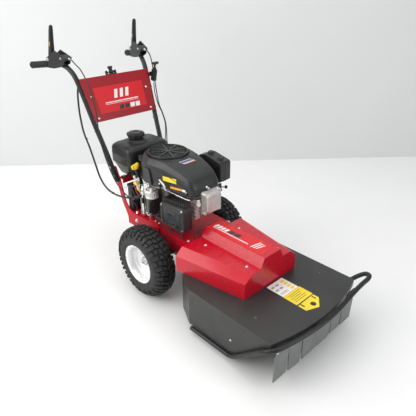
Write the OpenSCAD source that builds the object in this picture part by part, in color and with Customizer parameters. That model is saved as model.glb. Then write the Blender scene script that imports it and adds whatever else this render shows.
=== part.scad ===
// Walk-behind brush mower: two driven wheels, a petrol engine over the axle, a belt drive to a
// flail disc under a steel deck, and a handlebar with a control panel.
// The origin is on the ground under the blade spindle. +Z is up, the front is -Y, and the
// operator stands at +Y, so the operator's left is +X.

/* [Wheels] */
// Outer radius of the tyre
tyre_r = 190.5; // [180:1:195]
// Width of the tyre
tyre_w = 127; // [120:1:130]
// Distance from the centre plane to the outer face of a tyre
track_half = 320; // [318:1:330]
// Distance from the blade spindle back to the axle
axle_y = 555; // [545:1:565]
// Radius of the rim's outer flange
rim_r = 104; // [100:1:106]

/* [Cutting deck] */
// Half of the deck's width
deck_half = 305; // [302:1:312]
// Height of the deck's top face
deck_top = 241; // [239:1:243]
// Height of the bottom edge of the deck's side walls
deck_bottom = 46; // [44:1:50]
// Sheet thickness of the deck
deck_t = 4; // [3:0.5:5]
// Radius that the blade tips sweep
cut_r = 292; // [285:1:294]
// Radius of the blade disc
disc_r = 205; // [195:1:208]
// Radius of the bumper tube
bumper_r = 11; // [9:1:12]

/* [Chassis] */
// Height of the engine plate's top face
plate_z = 342; // [340:1:344]
// Half of the chassis width
chassis_half = 152; // [150:1:154]
// Sheet thickness of the chassis
chassis_t = 4; // [3:0.5:5]
// Height of the belt cover's flat top
cover_top = 356; // [354:1:360]
// Height of the ridge on the belt cover
ridge_h = 46; // [40:1:50]

/* [Handlebar] */
// Radius of the handle tubes
tube_r = 13; // [12:0.5:14]
// Length of a hand grip
grip_len = 128; // [120:1:132]
// Length of a control lever
lever_len = 173; // [165:1:180]

/* [Engine] */
// Distance from the axle back to the crankshaft
crank_back = 105; // [103:1:107]
// Radius of the cooling fan's grille
grille_r = 108; // [100:1:112]
// Height of the top of the fan grille
grille_z = 698; // [696:1:702]

/* [Hidden] */
$fn = 64;

crank_y = axle_y + crank_back;
axle_z = tyre_r;
shaft_r = 12.5;
fit = 0.05;               // radial running clearance of shafts
gap = 0.5;                // gap left between bodies that only pass each other

// deck outline
deck_front_c = -352;      // front edge at the centre
deck_front_s = -305;      // front edge at the sides
deck_rear_s = 170;        // where a side wall ends and the rear chamfer starts
deck_rear = 305;          // rear wall
deck_rear_half = 190;     // half of the rear wall
deck_mid = 275;           // bend between the side chamfer and the rear chamfer
deck_mid_half = 252;      // half of the deck's width at that bend
lip_z = 212;              // lower edge of the front lip
slant_y = -125;           // where the sloping front edge of a side wall meets its bottom

// belt drive
belt_z = 312;
belt_h = 12;
spindle_pr = 42;
crank_pr = 36;
belt_t = 8;

// panel plane: foot of the panel, and its tilt from upright
panel_y = axle_y + 453;
panel_z = 808;
panel_tilt = 22;
panel_h = 232;
panel_bot = 197;
panel_top = 218;

// handle tube route, left side
tube_pts = [
    [171.5, axle_y + 339, 498], [183, axle_y + 403, 650], [199, axle_y + 468, 800],
    [213, axle_y + 527, 945], [223, axle_y + 565, 1030], [234, axle_y + 604, 1070],
    [246, axle_y + 650, 1086], [256, axle_y + 700, 1086], [266, axle_y + 738, 1082],
    [309, axle_y + 858, 1066]
];

pivot = [263, axle_y + 727, 1108];
pivot_turn = 10;          // how far a lever is turned toward its grip, seen from above
lever_lean = 13;          // forward lean of a released lever
throttle_foot = [243, axle_y + 517, 958];
throttle_lean = 13;       // forward lean of the throttle's housing
rail_y = -322;            // front face of the rail that the flaps hang from

bumper_pts = [
    [-310, 153, 34], [-310, 60, 34], [-310, -60, 35], [-312, -104, 42], [-315, -148, 74],
    [-318, -210, 132], [-320, -270, 188], [-314, -304, 212], [-286, -326, 217],
    [-220, -342, 219], [-120, -358, 221], [0, -366, 222], [120, -360, 224],
    [220, -350, 228], [300, -346, 234], [352, -348, 240], [380, -340, 242],
    [386, -318, 238], [366, -296, 226], [338, -272, 204], [322, -240, 170],
    [318, -200, 130], [315, -148, 74], [312, -104, 42], [310, -60, 35], [310, 60, 34],
    [310, 153, 34]
];

lever_cable_right_pts = [
    [-238, axle_y + 585, 1124], [-233, axle_y + 562, 1118], [-228, axle_y + 538, 1100],
    [-224, axle_y + 493, 1073], [-221, axle_y + 449, 1016], [-217, axle_y + 426, 949],
    [-213, axle_y + 412, 880], [-210, axle_y + 413, 785], [-208, axle_y + 405, 704],
    [-204, axle_y + 366, 602], [-200, axle_y + 306, 512], [-182, axle_y + 240, 450],
    [-156, axle_y + 214, 410], [-146, axle_y + 212, 380], [-146, axle_y + 212, plate_z]
];
lever_cable_left_pts = [
    [238, axle_y + 585, 1124], [246, axle_y + 574, 1118], [258, axle_y + 562, 1094],
    [266, axle_y + 556, 1056], [268, axle_y + 546, 1000], [262, axle_y + 528, 940],
    [250, axle_y + 500, 880], [238, axle_y + 470, 828], [234, axle_y + 436, 785],
    [230, axle_y + 406, 735], [226, axle_y + 394, 680], [214, axle_y + 376, 612],
    [200, axle_y + 320, 540], [182, axle_y + 244, 466], [156, axle_y + 214, 414],
    [146, axle_y + 212, 380], [146, axle_y + 212, plate_z]
];
loom_pts = [
    [-206, axle_y + 574, 990], [-214, axle_y + 576, 948], [-216, axle_y + 580, 890],
    [-216, axle_y + 580, 828], [-216, axle_y + 563, 738], [-215, axle_y + 519, 657],
    [-214, axle_y + 484, 579], [-212, axle_y + 449, 500], [-208, axle_y + 396, 452],
    [-196, axle_y + 330, 432], [-172, axle_y + 258, 430], [-152, axle_y + 206, 446],
    [-139, axle_y + 178, 462]
];
throttle_cable_pts = [
    [243, axle_y + 517, 956], [238, axle_y + 508, 930], [230, axle_y + 494, 896],
    [226, axle_y + 466, 836], [224, axle_y + 429, 791], [218, axle_y + 396, 739],
    [212, axle_y + 386, 690], [200, axle_y + 376, 620], [186, axle_y + 320, 570],
    [168, axle_y + 230, 530], [150, axle_y + 110, 506], [140, axle_y + 0, 496],
    [134, axle_y - 58, 498]
];
hose_pts = [
    [100, axle_y + 262, 600], [100, axle_y + 250, 598], [102, axle_y + 236, 560],
    [106, axle_y + 210, 516], [108, axle_y + 140, 490], [110, axle_y + 60, 484],
    [110, axle_y + 0, 484], [108, axle_y - 36, 484], [104, axle_y - 60, 484]
];
plug_pts = [
    [-86, axle_y - 176, 546], [-92, axle_y - 160, 545], [-93, axle_y - 120, 540],
    [-93, axle_y - 60, 538], [-91, axle_y - 16, 540], [-80, axle_y + 4, 541],
    [-68, axle_y + 16, 541]
];

// ---- helpers ---------------------------------------------------------------------------

// Point on a smooth curve through p1 and p2
function curve(p0, p1, p2, p3, t) =
    0.5 * (2 * p1 + (p2 - p0) * t + (2 * p0 - 5 * p1 + 4 * p2 - p3) * t * t
    + (3 * p1 - p0 - 3 * p2 + p3) * t * t * t);

// Smooth route through the points p with n steps between neighbours
function route(p, n) = [
    for (i = [0 : len(p) - 2], k = [0 : n - 1])
        curve(p[max(i - 1, 0)], p[i], p[i + 1], p[min(i + 2, len(p) - 1)], k / n),
    p[len(p) - 1]
];
function unit(v) = v / norm(v);
function tangent(p, i) = unit(p[min(i + 1, len(p) - 1)] - p[max(i - 1, 0)]);

// Round tube along the points p; ref is any direction that the route never follows
module sweep(p, r, sides, ref) {
    rings = [
        for (i = [0 : len(p) - 1])
            let (t = tangent(p, i), s = unit(cross(t, ref)), u = cross(s, t))
            for (k = [0 : sides - 1])
                p[i] + r * (cos(360 * k / sides) * s + sin(360 * k / sides) * u)
    ];
    walls = [
        for (i = [0 : len(p) - 2], k = [0 : sides - 1])
            let (a = i * sides, b = (k + 1) % sides)
            [a + k, a + b, a + sides + b, a + sides + k]
    ];
    first = [for (k = [sides - 1 : -1 : 0]) k];
    last = [for (k = [0 : sides - 1]) (len(p) - 1) * sides + k];
    polyhedron(rings, concat([first], walls, [last]), convexity = 6);
}

// Children drawn along the line from a to b, which becomes their +Z
module aim(a, b) {
    d = b - a;
    translate(a)
        rotate([0, acos(d[2] / norm(d)), atan2(d[1], d[0])])
            children();
}

module rod(a, b, r) {
    aim(a, b) cylinder(r = r, h = norm(b - a));
}

// Block with rounded vertical edges, centred in X and Y, standing on z = 0
module block(x, y, z, r) {
    linear_extrude(z) rounded(x, y, r);
}

module rounded(x, y, r) {
    union() {
        square([x - 2 * r, y], center = true);
        square([x, y - 2 * r], center = true);
        for (i = [-1, 1], j = [-1, 1])
            translate([i * (x / 2 - r), j * (y / 2 - r)]) circle(r);
    }
}

// Extrude a Y-Z outline along X, from x0 to x1
module side_plate(x0, x1, pts) {
    translate([x0, 0, 0])
        rotate([90, 0, 90])
            linear_extrude(x1 - x0) polygon(pts);
}

// Extrude an X-Z outline along Y, from y0 to y1
module front_plate(y0, y1, pts) {
    translate([0, y1, 0])
        rotate([90, 0, 0])
            linear_extrude(y1 - y0) polygon(pts);
}

module both_sides() {
    children();
    mirror([1, 0, 0]) children();
}

module at_axle() {
    translate([0, axle_y, 0]) children();
}

module in_panel() {
    translate([0, panel_y, panel_z]) rotate([-panel_tilt, 0, 0]) children();
}

module dome_bolt(r) {
    intersection() {
        translate([0, 0, -r * 0.35]) sphere(r * 1.15, $fn = 32);
        cylinder(r = r, h = r, $fn = 32);
    }
}

// ---- chassis ---------------------------------------------------------------------------

module chassis_frame() {
    color("firebrick")
    difference() {
        at_axle() union() {
            translate([-chassis_half, -225, plate_z - chassis_t])
                cube([2 * chassis_half, 521, chassis_t]);
            for (s = [-1, 1])
                side_plate(s * (chassis_half - chassis_t / 2) - chassis_t / 2,
                    s * (chassis_half - chassis_t / 2) + chassis_t / 2,
                    [[-225, 262], [-60, 246], [60, 246], [275, 262], [275, plate_z],
                    [-225, plate_z]]);
            // rear cross wall
            translate([-chassis_half, 271, 262]) cube([2 * chassis_half, 4, plate_z - 262]);
            // channel that reaches forward to the deck
            for (s = [-1, 1])
                side_plate(s * 118 - 2, s * 118 + 2,
                    [[-598, deck_top], [-310, deck_top], [-180, 262], [-180, 339],
                    [-300, 339], [-598, 300]]);
            translate([-116, -184, 262]) cube([232, 4, 40]);
            // pin of the belt tensioner
            translate([idler_pivot[0], idler_pivot[1] - axle_y, 284])
                cylinder(r = 6, h = plate_z - chassis_t - 284 + 1);
            for (s = [-1, 1])
                translate([s * 134 - 18, -225, 262]) cube([36, 4, 76]);
        }
        translate([0, crank_y, plate_z - 10]) cylinder(r = 30, h = 20);
        // belt passes through the front walls
        translate([-75, axle_y - 240, belt_z - 14]) cube([150, 70, 22]);
    }
}

module handle_uprights() {
    color("red")
    at_axle() {
        both_sides() {
            side_plate(chassis_half, chassis_half + 6,
                [[10, 266], [240, 262], [284, 262], [286, 306], [328, 376], [366, 478],
                [392, 572], [368, 576], [332, 506], [312, 440], [294, 386], [268, 358],
                [232, plate_z], [10, plate_z]]);
        }
        // shelf under the fuel tank, between the uprights
        translate([-chassis_half, 316, 512]) cube([2 * chassis_half, 40, 4]);
        translate([-chassis_half, 316, 490]) cube([2 * chassis_half, 4, 22]);
    }
}

module handle_tube(side) {
    pts = [for (p = route(tube_pts, 3)) [side * p[0], p[1], p[2]]];
    color([0.09, 0.09, 0.1])
    difference() {
        sweep(pts, tube_r, 16, [1, 0, 0]);
        sweep([for (i = [0 : len(pts) - 1]) pts[i] + (i == 0 ? -2 : 0) * tangent(pts, 0)
            + (i == len(pts) - 1 ? 2 : 0) * tangent(pts, i)], tube_r - 2.5, 12, [1, 0, 0]);
    }
}

module control_panel() {
    color("darkred")
    in_panel() union() {
        // face, folded back at its top, bottom and sides
        front_plate(0, 2, [[-panel_bot, 0], [panel_bot, 0], [panel_top, panel_h],
            [-panel_top, panel_h]]);
        translate([-panel_bot + 22, 0, 0]) cube([2 * panel_bot - 44, 20, 2.5]);
        translate([-panel_top + 22, 0, panel_h - 2.5]) cube([2 * panel_top - 44, 24, 2.5]);
    }
}

module panel_label() {
    color("red")
    in_panel() front_plate(-1.5, 0, [[-150, 37], [150, 37], [158, 175], [-158, 175]]);
}

module dome_bolts() {
    color("silver") {
        in_panel()
            for (s = [-1, 1], p = [[170, 17], [176, 134]])
                translate([s * p[0], 0, p[1]]) rotate([90, 0, 0]) dome_bolt(6.5);
        for (s = [-1, 1]) {
            // belt cover
            translate([s * 108, 1, cover_top]) dome_bolt(7);
            translate([s * 116, 256, cover_top]) dome_bolt(7);
            // uprights to chassis, tubes to uprights
            for (p = [[204, 306], [60, 306]])
                translate([s * (chassis_half + 6), axle_y + p[0], p[1]])
                    rotate([0, s * 90, 0]) dome_bolt(8);
            // flap rail
            for (x = [256, 150])
                translate([s * x, rail_y, 197]) rotate([90, 0, 0]) dome_bolt(6);
            // handle tubes
            for (k = [[173.6, 352, 530], [177.5, 372, 577]])
                translate([s * (k[0] + tube_r - 1), axle_y + k[1], k[2]])
                    rotate([0, s * 90, 0]) dome_bolt(7);
            // deck side
            translate([s * deck_half, -95, 120]) rotate([0, s * 90, 0]) dome_bolt(5);
        }
    }
}

module hand_grips() {
    e = tube_pts[len(tube_pts) - 1];
    d = unit(e - tube_pts[len(tube_pts) - 2]);
    color([0.07, 0.07, 0.07])
    both_sides() {
        aim(e - grip_len * d, e + 6 * d)
            difference() {
                union() {
                    cylinder(r = tube_r + 3.5, h = grip_len + 6);
                    for (i = [1 : 9])
                        translate([0, 0, 6 + i * 11]) cylinder(r = tube_r + 5, h = 5);
                    cylinder(r = tube_r + 7, h = 5);
                }
                translate([0, 0, -1]) cylinder(r = tube_r + 0.3, h = grip_len + 1.5);
            }
    }
}

// Children drawn round a lever's pivot, turned to follow the grip
module at_pivot(side) {
    translate([side * pivot[0], pivot[1], pivot[2]]) rotate([0, 0, -side * pivot_turn])
        children();
}

module lever_brackets() {
    color([0.08, 0.08, 0.08])
    for (side = [-1, 1]) at_pivot(side) union() {
        for (x = [-21, 17])
            side_plate(x, x + 4,
                [[-92, -32], [-8, -43], [2, -43], [2, -20], [9, 0], [9, 8], [-30, 27],
                [-64, 50], [-142, 22], [-150, 16], [-138, 4], [-130, -14]]);
        side_plate(-18, 18, [[-142, 22], [-150, 16], [-138, 4], [-112, 2], [-114, 32]]);
        side_plate(-18, 18, [[-40, -43], [-8, -43], [-8, -39], [-40, -39]]);
        // pivot pin
        rotate([0, 90, 0]) cylinder(r = 4, h = 46, center = true);
    }
}

module lever(side) {
    color([0.08, 0.08, 0.08])
    at_pivot(side) rotate([lever_lean, 0, 0])
        difference() {
            union() {
                rotate([0, 90, 0]) cylinder(r = 10, h = 26, center = true);
                hull() {
                    translate([-12, -22, 6]) cube([24, 29, 24]);
                    translate([-11, -8, lever_len - 24]) cube([22, 12, 6]);
                    translate([0, -2, lever_len - 6]) rotate([90, 0, 0])
                        cylinder(r = 6, h = 10, center = true, $fn = 24);
                }
            }
            rotate([0, 90, 0]) cylinder(r = 4 + fit, h = 60, center = true);
        }
}

module throttle_housing() {
    color([0.08, 0.08, 0.08])
    translate(throttle_foot) rotate([throttle_lean, 0, 0]) difference() {
        union() {
            block(26, 28, 62, 7);
            translate([0, 0, 62]) cylinder(r = 10, h = 12);
            // arm back to the handle tube
            translate([-26, 6, 24]) cube([20, 8, 24]);
        }
        translate([0, 0, 20]) cylinder(r = 4 + fit, h = 60);
    }
}

module throttle_knob() {
    color([0.06, 0.06, 0.06])
    translate(throttle_foot) rotate([throttle_lean, 0, 0]) union() {
        translate([0, 0, 40]) cylinder(r = 4, h = 62);
        translate([0, 0, 82]) cylinder(r1 = 6, r2 = 9, h = 14);
        translate([0, 0, 96]) block(48, 16, 10, 6);
    }
}

module selector_bracket() {
    color([0.08, 0.08, 0.08])
    in_panel() difference() {
        union() {
            translate([-44, 3, panel_h]) cube([60, 18, 5]);
            translate([-44, 3, panel_h]) cube([6, 18, 22]);
            translate([10, 3, panel_h]) cube([6, 18, 22]);
        }
        translate([-50, 12, panel_h + 14]) rotate([0, 90, 0]) cylinder(r = 3 + fit, h = 80);
    }
}

module selector_lever() {
    color([0.06, 0.06, 0.06])
    in_panel() translate([0, 12, panel_h + 14]) union() {
        translate([-46, 0, 0]) rotate([0, 90, 0]) cylinder(r = 3, h = 66);
        translate([-22, 0, 0]) rotate([0, 90, 0]) cylinder(r = 8, h = 22);
        translate([-20, -5, 0]) cube([18, 10, 20]);
        translate([-11, 0, 20]) block(26, 16, 10, 5);
    }
}

// ---- engine ----------------------------------------------------------------------------

module engine_block() {
    color("silver")
    difference() {
        at_axle() union() {
            // sump flange, crankcase and top deck
            translate([0, crank_back, plate_z]) cylinder(r = 108, h = 12);
            translate([0, crank_back, plate_z]) block(164, 178, 218, 26);
            // head of the oil filter and its arm
            translate([-125, 95, 478]) cylinder(r = 31, h = 44);
            translate([-110, 78, 484]) cube([40, 34, 30]);
            // filler pad for the dipstick tube
            translate([-104, 198, 430]) cube([34, 24, 30]);
            translate([-82, 180, 430]) cube([12, 20, 30]);
            // feet
            for (s = [-1, 1], y = [30, 150])
                translate([s * 96, y, plate_z]) cylinder(r = 14, h = 16);
        }
        translate([0, crank_y, plate_z - 1]) cylinder(r = shaft_r + fit, h = 240);
    }
}

head_x = 12;
head_z = 512;

module cylinder_fins() {
    color("silver")
    at_axle() translate([head_x, 0, head_z]) union() {
        translate([0, 16, 0]) rotate([90, 0, 0]) cylinder(r = 48, h = 180);
        for (i = [0 : 9])
            translate([0, -4 - i * 15, 0]) rotate([90, 0, 0])
                linear_extrude(4) rounded(128, 116, 14);
        translate([0, -150, 0]) rotate([90, 0, 0]) linear_extrude(40) rounded(112, 118, 14);
        translate([-70, -176, 34]) rotate([0, 90, 0]) cylinder(r = 8, h = 20);
    }
}

module valve_cover() {
    color("gainsboro")
    at_axle() translate([head_x, -190, head_z]) rotate([90, 0, 0]) union() {
        linear_extrude(12) rounded(112, 118, 12);
        linear_extrude(39) rounded(96, 100, 14);
        for (i = [-1, 1], j = [-1, 1])
            translate([i * 49, j * 51, 0]) cylinder(r = 9, h = 24);
        for (i = [-1, 1], j = [-1, 1])
            translate([i * 49, j * 51, 24]) cylinder(r = 6, h = 6, $fn = 6);
    }
}

// Outer form of the blower housing, drawn in by w
module blower_form(w) {
    hull() {
        translate([0, crank_back, 560 - w]) cylinder(r = 142 - w, h = 104, $fn = 48);
        translate([0, crank_back, 640]) cylinder(r = 116 - w, h = 46 - w, $fn = 48);
        translate([-98 + w, -188 + w, 560 - w]) cube([190 - 2 * w, 40, 26]);
        translate([-60 + w, -168 + w, 580]) cube([120 - 2 * w, 40, 44 - w]);
    }
}

// Lug on the housing's rear right corner
module housing_lug(r) {
    hull() {
        translate([-60, 190, 646]) cylinder(r = r, h = 20);
        translate([-92, 210, 646]) cylinder(r = r, h = 18);
    }
}

module blower_housing() {
    color([0.12, 0.12, 0.13])
    difference() {
        at_axle() union() {
            blower_form(0);
            housing_lug(17);
        }
        at_axle() blower_form(4);
        translate([0, crank_y, 600]) cylinder(r = grille_r - 8, h = 120);
        // notch above the cylinder head
        at_axle() translate([head_x - 68, -200, 540]) cube([136, 60, 42]);
    }
}

module fan_grille() {
    color([0.1, 0.1, 0.11])
    translate([0, crank_y, 0]) difference() {
        translate([0, 0, 686]) cylinder(r = grille_r, h = grille_z - 686);
        translate([0, 0, 680]) cylinder(r = grille_r - 8, h = grille_z - 684);
        // rings of slots between eight spokes
        for (r = [22, 38, 54, 70, 86])
            difference() {
                translate([0, 0, 660]) cylinder(r = r + 9, h = 60);
                translate([0, 0, 650]) cylinder(r = r, h = 80);
                for (a = [0 : 45 : 315])
                    rotate(a) translate([0, -4, 650]) cube([grille_r, 8, 80]);
            }
    }
}

module air_cleaner() {
    color([0.12, 0.12, 0.13])
    at_axle() union() {
        side_plate(150, 228, [[44, 550], [44, 646], [32, 658], [-12, 673], [-122, 652],
            [-131, 642], [-132, 544], [-110, 530], [20, 540]]);
        for (y = [-22, -94])
            translate([186, y, 640]) cylinder(r = 16, h = y == -94 ? 28 : 41);
        // intake elbow to the carburettor
        translate([90, -48, 505]) cube([80, 34, 36]);
    }
}

module muffler() {
    color([0.1, 0.1, 0.1])
    at_axle() union() {
        side_plate(-168, -104, [[-196, 402], [-184, 390], [-30, 390], [-18, 402], [-18, 496],
            [-30, 508], [-184, 522], [-196, 510]]);
        // shield over the top
        side_plate(-150, -108, [[-190, 504], [-26, 496], [-26, 528], [-190, 546]]);
        translate([-174, -108, 448]) rotate([0, 90, 0]) cylinder(r = 40, h = 8);
        // outlet
        difference() {
            translate([-184, -140, 426]) rotate([0, 90, 0]) cylinder(r = 13, h = 18);
            translate([-190, -140, 426]) rotate([0, 90, 0]) cylinder(r = 10, h = 14);
        }
        // pipe to the cylinder head
        translate([-104, -172, 484]) rotate([0, 90, 0]) cylinder(r = 14, h = 60);
    }
}

module muffler_guard() {
    w = 2.5;
    x = -chassis_half + 2;
    color([0.08, 0.08, 0.08])
    at_axle() union() {
        for (y = [-168, -84, 0])
            translate([x, y, plate_z]) cylinder(r = w, h = 36);
        for (z = [plate_z + 14, plate_z + 36])
            rod([x, 0, z], [x, -168, z], w);
        for (y = [-168, 0])
            translate([x, y, plate_z + 36]) sphere(w, $fn = 24);
    }
}

module oil_filter() {
    color([0.1, 0.1, 0.11])
    at_axle() translate([-125, 95, 384]) rotate_extrude() polygon([[0, 0], [27, 0], [33, 6],
        [33, 88], [31, 94], [0, 94]]);
}

module starter_motor() {
    color("silver")
    at_axle() translate([-120, 174, plate_z]) union() {
        cylinder(r = 17, h = 160);
        translate([0, 0, 14]) cylinder(r = 20, h = 120);
        translate([0, 0, 160]) cylinder(r = 12, h = 14);
        translate([10, -10, 20]) cube([28, 20, 30]);
        translate([-19, -6, 114]) cube([10, 12, 10]);
    }
}

stick_a = [-90, 211, 460];
stick_b = [-132, 212, 604];

module dipstick_tube() {
    color([0.08, 0.08, 0.08])
    at_axle() difference() {
        aim(stick_a, stick_b) union() {
            translate([0, 0, 5]) cylinder(r = 12, h = norm(stick_b - stick_a) - 5);
            translate([0, 0, norm(stick_b - stick_a) - 14]) cylinder(r = 15, h = 14);
        }
        aim(stick_a, stick_b) translate([0, 0, -2])
            cylinder(r = 7, h = norm(stick_b - stick_a) + 4);
    }
}

module dipstick() {
    color("gold")
    at_axle() aim(stick_a, stick_b) translate([0, 0, norm(stick_b - stick_a)]) union() {
        translate([0, 0, -120]) cylinder(r = 2.5, h = 121);
        translate([0, 0, 0.2]) cylinder(r = 17, h = 18);
        translate([-23, -9, 3]) cube([46, 18, 21]);
    }
}

module carburettor() {
    color("darkgray")
    at_axle() difference() {
        union() {
            translate([78, -118, 500]) cube([50, 70, 46]);
            translate([103, -84, 470]) cylinder(r = 24, h = 30);
            translate([76, -100, 500]) cube([4, 34, 30]);
            // anchor of the throttle cable
            translate([128, -64, 490]) cube([12, 6, 16]);
        }
        translate([120, -84, 524]) rotate([0, 90, 0]) cylinder(r = 4 + fit, h = 30);
    }
}

module choke_lever() {
    color([0.1, 0.1, 0.1])
    at_axle() translate([122, -84, 524]) union() {
        rotate([0, 90, 0]) cylinder(r = 4, h = 22);
        translate([8, 0, 0]) rotate([0, 90, 0]) cylinder(r = 9, h = 6);
        translate([8, -4, -34]) cube([5, 8, 34]);
        translate([8, 0, -36]) rotate([0, 90, 0]) cylinder(r = 7, h = 12);
    }
}

module plug_lead() {
    color([0.05, 0.05, 0.05])
    union() {
        sweep(route(plug_pts, 4), 3.5, 8, [0, 0, 1]);
        at_axle() rod([head_x - 70, -176, head_z + 34], [-90, -176, head_z + 34], 8);
    }
}

module fuel_tank() {
    color([0.1, 0.1, 0.11])
    at_axle() union() {
        hull() {
            translate([0, 352, 516]) block(206, 130, 8, 24, $fn = 32);
            translate([0, 352, 586]) block(272, 184, 90, 28, $fn = 32);
            translate([0, 352, 684]) block(250, 162, 8, 28, $fn = 32);
        }
        translate([0, 366, 690]) cylinder(r1 = 64, r2 = 58, h = 6);
        translate([0, 368, 695]) cylinder(r1 = 54, r2 = 50, h = 5);
        translate([0, 384, 699]) cylinder(r = 44, h = 9);
        translate([0, 384, 705]) cylinder(r = 30, h = 14);
    }
}

module fuel_cap() {
    color([0.07, 0.07, 0.07])
    at_axle() translate([0, 384, 708.4]) difference() {
        union() {
            cylinder(r = 45, h = 20);
            for (a = [0 : 45 : 315])
                rotate(a) translate([36, -10, 2]) cube([13, 20, 17]);
            translate([0, 0, 19]) cylinder(r = 38, h = 5);
        }
        translate([0, 0, -1]) cylinder(r = 30 + fit, h = 14);
    }
}

module fuel_hose() {
    color([0.05, 0.05, 0.05])
    sweep(route(hose_pts, 4), 4.5, 8, [0, 0.3, 1]);
}

module battery_box() {
    color([0.11, 0.12, 0.13])
    at_axle() union() {
        translate([-112, 270, plate_z]) block(64, 42, 140, 5);
        translate([-112, 270, plate_z + 140]) block(70, 48, 12, 6);
    }
}

// ---- deck ------------------------------------------------------------------------------

// Plan of the deck, drawn in by w
module deck_plan(w) {
    sag = deck_front_s - deck_front_c;
    arc_r = (deck_half * deck_half + sag * sag) / (2 * sag);
    intersection() {
        polygon([[-deck_half + w, -400], [deck_half - w, -400],
            [deck_half - w, deck_rear_s - 0.2 * w], [deck_mid_half - w, deck_mid - 0.7 * w],
            [deck_rear_half - 0.2 * w, deck_rear - w], [-deck_rear_half + 0.2 * w, deck_rear - w],
            [-deck_mid_half + w, deck_mid - 0.7 * w], [-deck_half + w, deck_rear_s - 0.2 * w]]);
        translate([0, deck_front_c + arc_r]) circle(arc_r - w, $fn = 180);
    }
}

module deck_shell() {
    color([0.16, 0.16, 0.17])
    union() {
        difference() {
            translate([0, 0, deck_bottom])
                linear_extrude(deck_top - deck_bottom) deck_plan(0);
            translate([0, 0, deck_bottom - 1])
                linear_extrude(deck_top - deck_bottom + 1 - deck_t) deck_plan(deck_t);
            side_plate(-400, 400, [[slant_y, deck_bottom - 2], [deck_front_s, lip_z],
                [-420, lip_z], [-420, deck_bottom - 2]]);
            translate([0, 0, deck_top - 20]) cylinder(r = 42, h = 40);
            // outlet notch for the cuttings at the rear
            translate([-150, deck_rear - 20, deck_bottom - 1]) cube([300, 40, 60]);
        }
        // rail for the flaps, hung from the top plate
        translate([-292, rail_y, 188]) cube([584, 4, 18]);
        for (x = [-220, -20, 180])
            translate([x, rail_y, 196]) cube([40, 4, deck_top - 2 - 196]);
    }
}

module bumper_tube() {
    color([0.13, 0.13, 0.14])
    sweep(route(bumper_pts, 3), bumper_r, 12, [0, 0.4, 1]);
}

// Cross-section of the belt cover, with walls at half width a, folds at b, drawn in by w
function cover_section(a, b, w) = [
    [-a + w, deck_top - (w > 0 ? 5 : 0)], [a - w, deck_top - (w > 0 ? 5 : 0)],
    [a - w, cover_top - 36], [b - 0.4 * w, cover_top - w], [-b + 0.4 * w, cover_top - w],
    [-a + w, cover_top - 36]
];

// Cover body tapering from the rear section to the front one
module cover_form(w) {
    y_rear = 327;
    y_front = -55;
    a0 = cover_section(245, 205, w);
    a1 = cover_section(179, 135, w);
    n = len(a0);
    pts = concat([for (p = a0) [p[0], y_rear + 1 * (w > 0 ? 5 : 0), p[1]]],
        [for (p = a1) [p[0], y_front + w, p[1]]]);
    walls = [for (i = [0 : n - 1]) let (j = (i + 1) % n) [i, i + n, j + n, j]];
    polyhedron(pts, concat([[for (i = [0 : n - 1]) i]], walls,
        [[for (i = [n - 1 : -1 : 0]) i + n]]), convexity = 4);
}

// Raised ridge along the middle of the cover
module ridge(w) {
    front_plate(-55 + (w > 0 ? w : 0), 327 - w, [[-78 + w, cover_top - 8], [78 - w, cover_top - 8],
        [78 - w, cover_top], [55 - w, cover_top + ridge_h - w], [-55 + w, cover_top + ridge_h - w],
        [-78 + w, cover_top]]);
}

module belt_cover() {
    color("red")
    difference() {
        union() {
            cover_form(0);
            ridge(0);
        }
        cover_form(3);
        ridge(3);
    }
}

module deck_label() {
    color("khaki")
    translate([0, 0, deck_top])
        linear_extrude(0.8)
            polygon([[-52, -70], [58, -70], [58, -262], [4, -312], [-52, -262]]);
}

module spindle_housing() {
    color("dimgray")
    difference() {
        union() {
            translate([0, 0, deck_top]) cylinder(r = 50, h = 10);
            translate([0, 0, 150]) cylinder(r = 32, h = 142);
            translate([0, 0, deck_top - 22]) cylinder(r = 40, h = 22);
        }
        translate([0, 0, 100]) cylinder(r = shaft_r + fit, h = 220);
    }
}

module gearbox() {
    color("slategray")
    at_axle() difference() {
        union() {
            translate([0, 0, 118]) block(96, 150, 140, 20);
            for (s = [-1, 1])
                translate([s * 48, 0, axle_z]) rotate([0, s * 90, 0]) cylinder(r = 30, h = 88);
            // carrier plate between the chassis walls
            translate([-chassis_half + chassis_t, -50, 250])
                cube([2 * chassis_half - 2 * chassis_t, 100, 8]);
        }
        rotate([0, 90, 0]) translate([-axle_z, 0, -160]) cylinder(r = shaft_r + fit, h = 320);
    }
}

// ---- wheels ----------------------------------------------------------------------------

wheel_x = track_half - tyre_w / 2;

// Children turned so that their +Z points outward along the axle
module on_axle(side) {
    translate([side * wheel_x, axle_y, axle_z]) rotate([0, side * 90, 0]) children();
}

module tyre(side) {
    w = tyre_w / 2;
    color([0.1, 0.1, 0.1])
    on_axle(side) difference() {
        rotate_extrude($fn = 96) polygon([
            [rim_r + 1, -w + 12], [rim_r + 16, -w + 2], [150, -w], [174, -w + 6],
            [tyre_r - 5, -w + 16], [tyre_r, -w + 34], [tyre_r, w - 34],
            [tyre_r - 5, w - 16], [174, w - 6], [150, w], [rim_r + 16, w - 2],
            [rim_r + 1, w - 12], [93, w - 15.5], [93, -w + 15.5]]);
        // air space
        rotate_extrude($fn = 96) polygon([
            [80, -w + 24], [100, -w + 24], [112, -w + 14], [150, -w + 11],
            [168, -w + 18], [173, -w + 34], [173, w - 34], [168, w - 18],
            [150, w - 11], [112, w - 14], [100, w - 24], [80, w - 24]]);
        // tread grooves, slanting in pairs
        for (a = [0 : 18 : 342], s = [-1, 1])
            rotate(a + s * 4.5) translate([tyre_r - 9, -5, s * 34 - 24 + s * 12])
                cube([20, 10, 48]);
    }
}

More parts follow.
